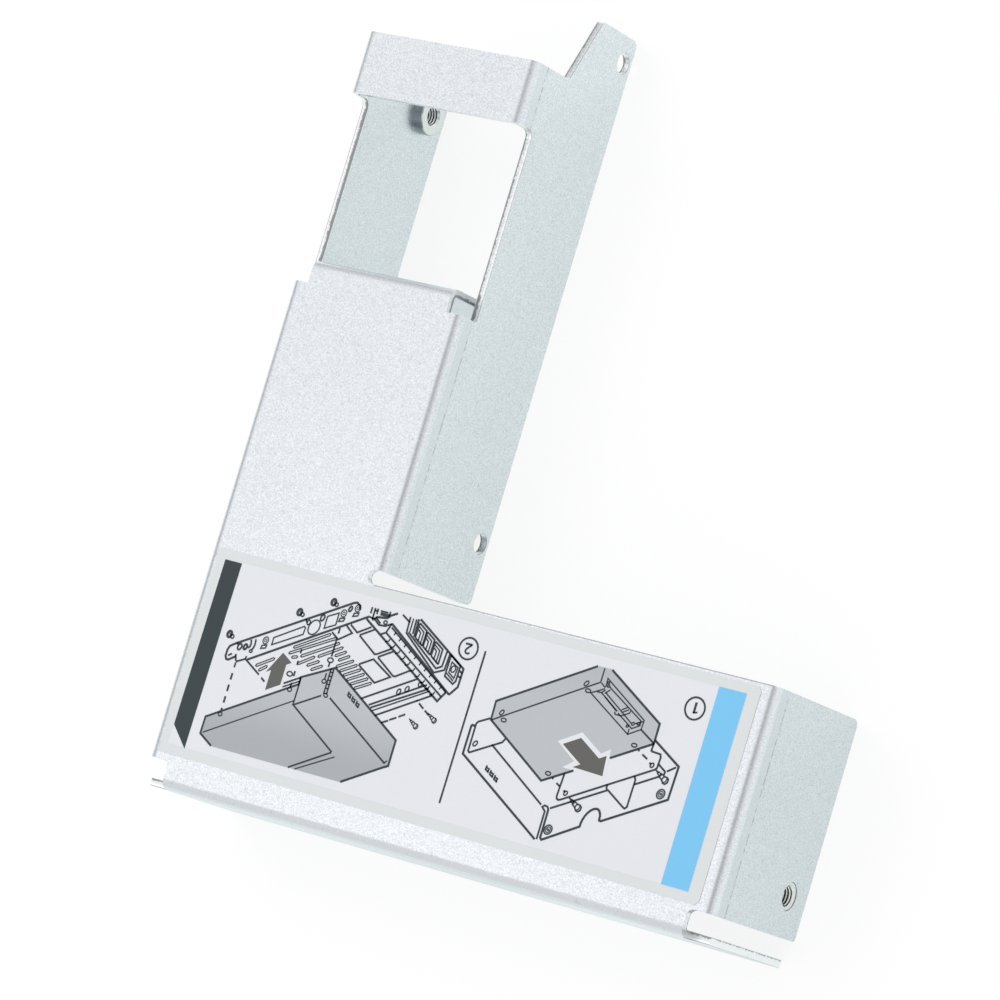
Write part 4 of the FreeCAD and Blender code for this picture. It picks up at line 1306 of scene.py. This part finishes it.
@dataclass
class Studio:
    """The pale floor, the soft light all round, a lamp that gives shadows a side, and a mirrored one."""

    base: float = 0.81
    lobes: tuple[Lobe, ...] = (
        Lobe((-0.53, -0.12, 0.85), 6.0, 40.0, 0.18),
        Lobe((-0.1, 0.0, 1.0), 3.0, 25.0, 0.12),
        Lobe((0.37, -0.03, 0.93), 4.0, 24.0, -0.33),
        Lobe((0.8, -0.1, 0.6), 4.0, 40.0, -0.04),
        Lobe((1.0, 0.0, 0.08), 4.0, 40.0, 0.19),
        Lobe((-1.0, 0.0, 0.15), 4.0, 34.0, -0.26),
        Lobe((-0.57, 0.76, 0.3), 4.0, 40.0, -0.18),
        Lobe((-0.55, 0.5, 0.66), 4.0, 30.0, 0.16),
        Lobe((-0.53, -0.81, 0.23), 5.0, 42.0, 0.17),
    )
    lamps: tuple[Lamp, ...] = (
        Lamp("soft_lamp", (-0.45, 0.25, 0.8), 0.5, 1.2, False),
        Lamp("near_lamp", (-0.28, -0.074, 0.44), 0.15, 0.027, True),
    )
    floor_radius: float = 0.5
    floor_points: int = 96
    floor_colour: Colour = (0.86, 0.865, 0.86)
    floor_lit_share: float = 0.19
    floor_own_light: float = 0.835
    floor_mirror_tint: Colour = (0.93, 1.0, 0.975)
    floor_mirror_light: float = 0.936
    floor_steps: tuple[Step, ...] = (
        Step(0, (-0.03, -0.015), -0.044),
        Step(0, (0.002, 0.015), 0.074),
        Step(0, (0.025, 0.045), -0.114),
        Step(0, (0.07, 0.09), 0.088),
        Step(1, (-0.068, -0.062), -0.133),
        Step(1, (0.046, 0.06), 0.052),
    )

    def world(self) -> None:
        """Builds the light all round, as brightness by direction.

        It is a base value plus each lobe's smooth step of the angle to its direction; a lobe below zero is a
        dimmer patch, such as the gap that the camera looks through. The camera sees plain white.
        """
        world = bpy.data.worlds.new("studio")
        bpy.context.scene.world = world
        world.use_nodes = True
        graph = Graph(world.node_tree)
        direction = graph.node("ShaderNodeTexCoord").outputs["Generated"]
        value: object = self.base
        for lobe in self.lobes:
            toward = tuple(Vector(lobe.direction).normalized())
            dot = graph.node("ShaderNodeVectorMath", {0: direction, 1: toward}, operation="DOT_PRODUCT")
            outer, inner = (math.cos(math.radians(angle)) for angle in (lobe.outer, lobe.inner))
            value = graph.plus(value, graph.ramp(dot.outputs["Value"], (outer, inner), 0.0, lobe.strength))
        seen = graph.node("ShaderNodeLightPath").outputs["Is Camera Ray"]
        strength = graph.node("ShaderNodeMix", {0: seen, 2: value, 3: 1.0}, data_type="FLOAT").outputs[0]
        graph.settle(world.node_tree.nodes["Background"], {"Strength": strength, "Color": WHITE})

    def floor_material(self) -> Material:
        """Builds the floor's material.

        It lights the part as a plain matt floor. The camera sees a paler one that keeps only a share of the
        shadow, and the part mirrors one whose light changes in steps from place to place.

        Returns:
            The material.
        """
        material, graph, shader = new_material("pale_floor")
        graph.tree.nodes.remove(shader)
        lit = graph.node("ShaderNodeBsdfDiffuse", {"Color": self.floor_colour}).outputs[0]
        share = graph.node("ShaderNodeBsdfDiffuse", {"Color": (self.floor_lit_share,) * 3}).outputs[0]

        def glowing(colour: Colour, strength: object) -> Socket:
            """The share that takes shadows, with light of its own."""
            glow = graph.node("ShaderNodeEmission", {"Color": colour, "Strength": strength}).outputs[0]
            return graph.node("ShaderNodeAddShader", {0: share, 1: glow}).outputs[0]

        place = graph.split(graph.place())
        strength: object = self.floor_mirror_light
        for step in self.floor_steps:
            strength = graph.plus(strength, graph.ramp(place[step.axis], step.band, 0.0, step.change))
        rays = graph.node("ShaderNodeLightPath").outputs
        seen = graph.most(rays["Is Camera Ray"], rays["Is Transmission Ray"])
        mixed = lit
        for ray, look in (
            (seen, glowing(WHITE, self.floor_own_light)),
            (rays["Is Glossy Ray"], glowing(self.floor_mirror_tint, strength)),
        ):
            mixed = graph.node("ShaderNodeMixShader", {0: ray, 1: mixed, 2: look}).outputs[0]
        graph.plug(graph.tree.nodes["Material Output"].inputs["Surface"], mixed)
        return material

    def build(self) -> None:
        """Builds the light, the lamps and the floor, a round disc with its middle under the part."""
        self.world()
        for lamp in self.lamps:
            lamp.build()
        angle = np.linspace(0.0, 2 * math.pi, self.floor_points, endpoint=False)
        rim = np.stack([np.cos(angle), np.sin(angle), np.zeros_like(angle)], axis=1) * self.floor_radius
        floor = make_object("floor", rim, [range(len(rim))], False)
        floor.data.materials.append(self.floor_material())
        LOG.info("studio: floor of %.2f m radius, %d light patches", self.floor_radius, len(self.lobes))


@dataclass(frozen=True)
class PhotoCamera:
    """The camera at the photograph's place: its place in millimetres from the part's origin, turn and lens.

    The nearest and farthest things that it sees are in metres.
    """

    place: tuple[float, float, float] = (417.231, -76.867, 660.819)
    turn: tuple[float, float, float, float] = (0.94856907, 0.08233190, 0.27861571, 0.12574361)
    lens: float = 188.602
    sensor: float = 36.0
    nearest: float = 0.01
    farthest: float = 10.0

    def build(self) -> None:
        """Makes the camera and gives it to the scene."""
        data = bpy.data.cameras.new("camera")
        data.sensor_width, data.lens = self.sensor, self.lens
        data.clip_start, data.clip_end = self.nearest, self.farthest
        camera = bpy.data.objects.new("camera", data)
        camera.rotation_mode = "QUATERNION"
        camera.rotation_quaternion = Quaternion(self.turn)
        camera.location = Vector(self.place) * MM
        bpy.context.scene.collection.objects.link(camera)
        bpy.context.scene.camera = camera
        LOG.info("camera with a %.1f mm lens", self.lens)


def main() -> None:
    """Builds the camera, the studio and every piece of the bracket in order."""
    logging.basicConfig(level=logging.INFO, format="%(name)s: %(message)s")
    bpy.context.scene.view_settings.view_transform = "Standard"
    PhotoCamera().build()
    Studio().build()
    groups = Groups()
    FoldedSheet().dress(groups)
    nut_material = NutFinish().material(groups)
    for node, facing in (
        ("clinch_nut_front", Facing.INWARDS_FROM_LEFT),
        ("clinch_nut_rear", Facing.INWARDS_FROM_LEFT),
        ("clinch_nut_end", Facing.INWARDS_FROM_RIGHT),
    ):
        ClinchNut(node, facing).build(nut_material)
    PrintedLabel().dress(groups)


if __name__ == "__main__":
    main()
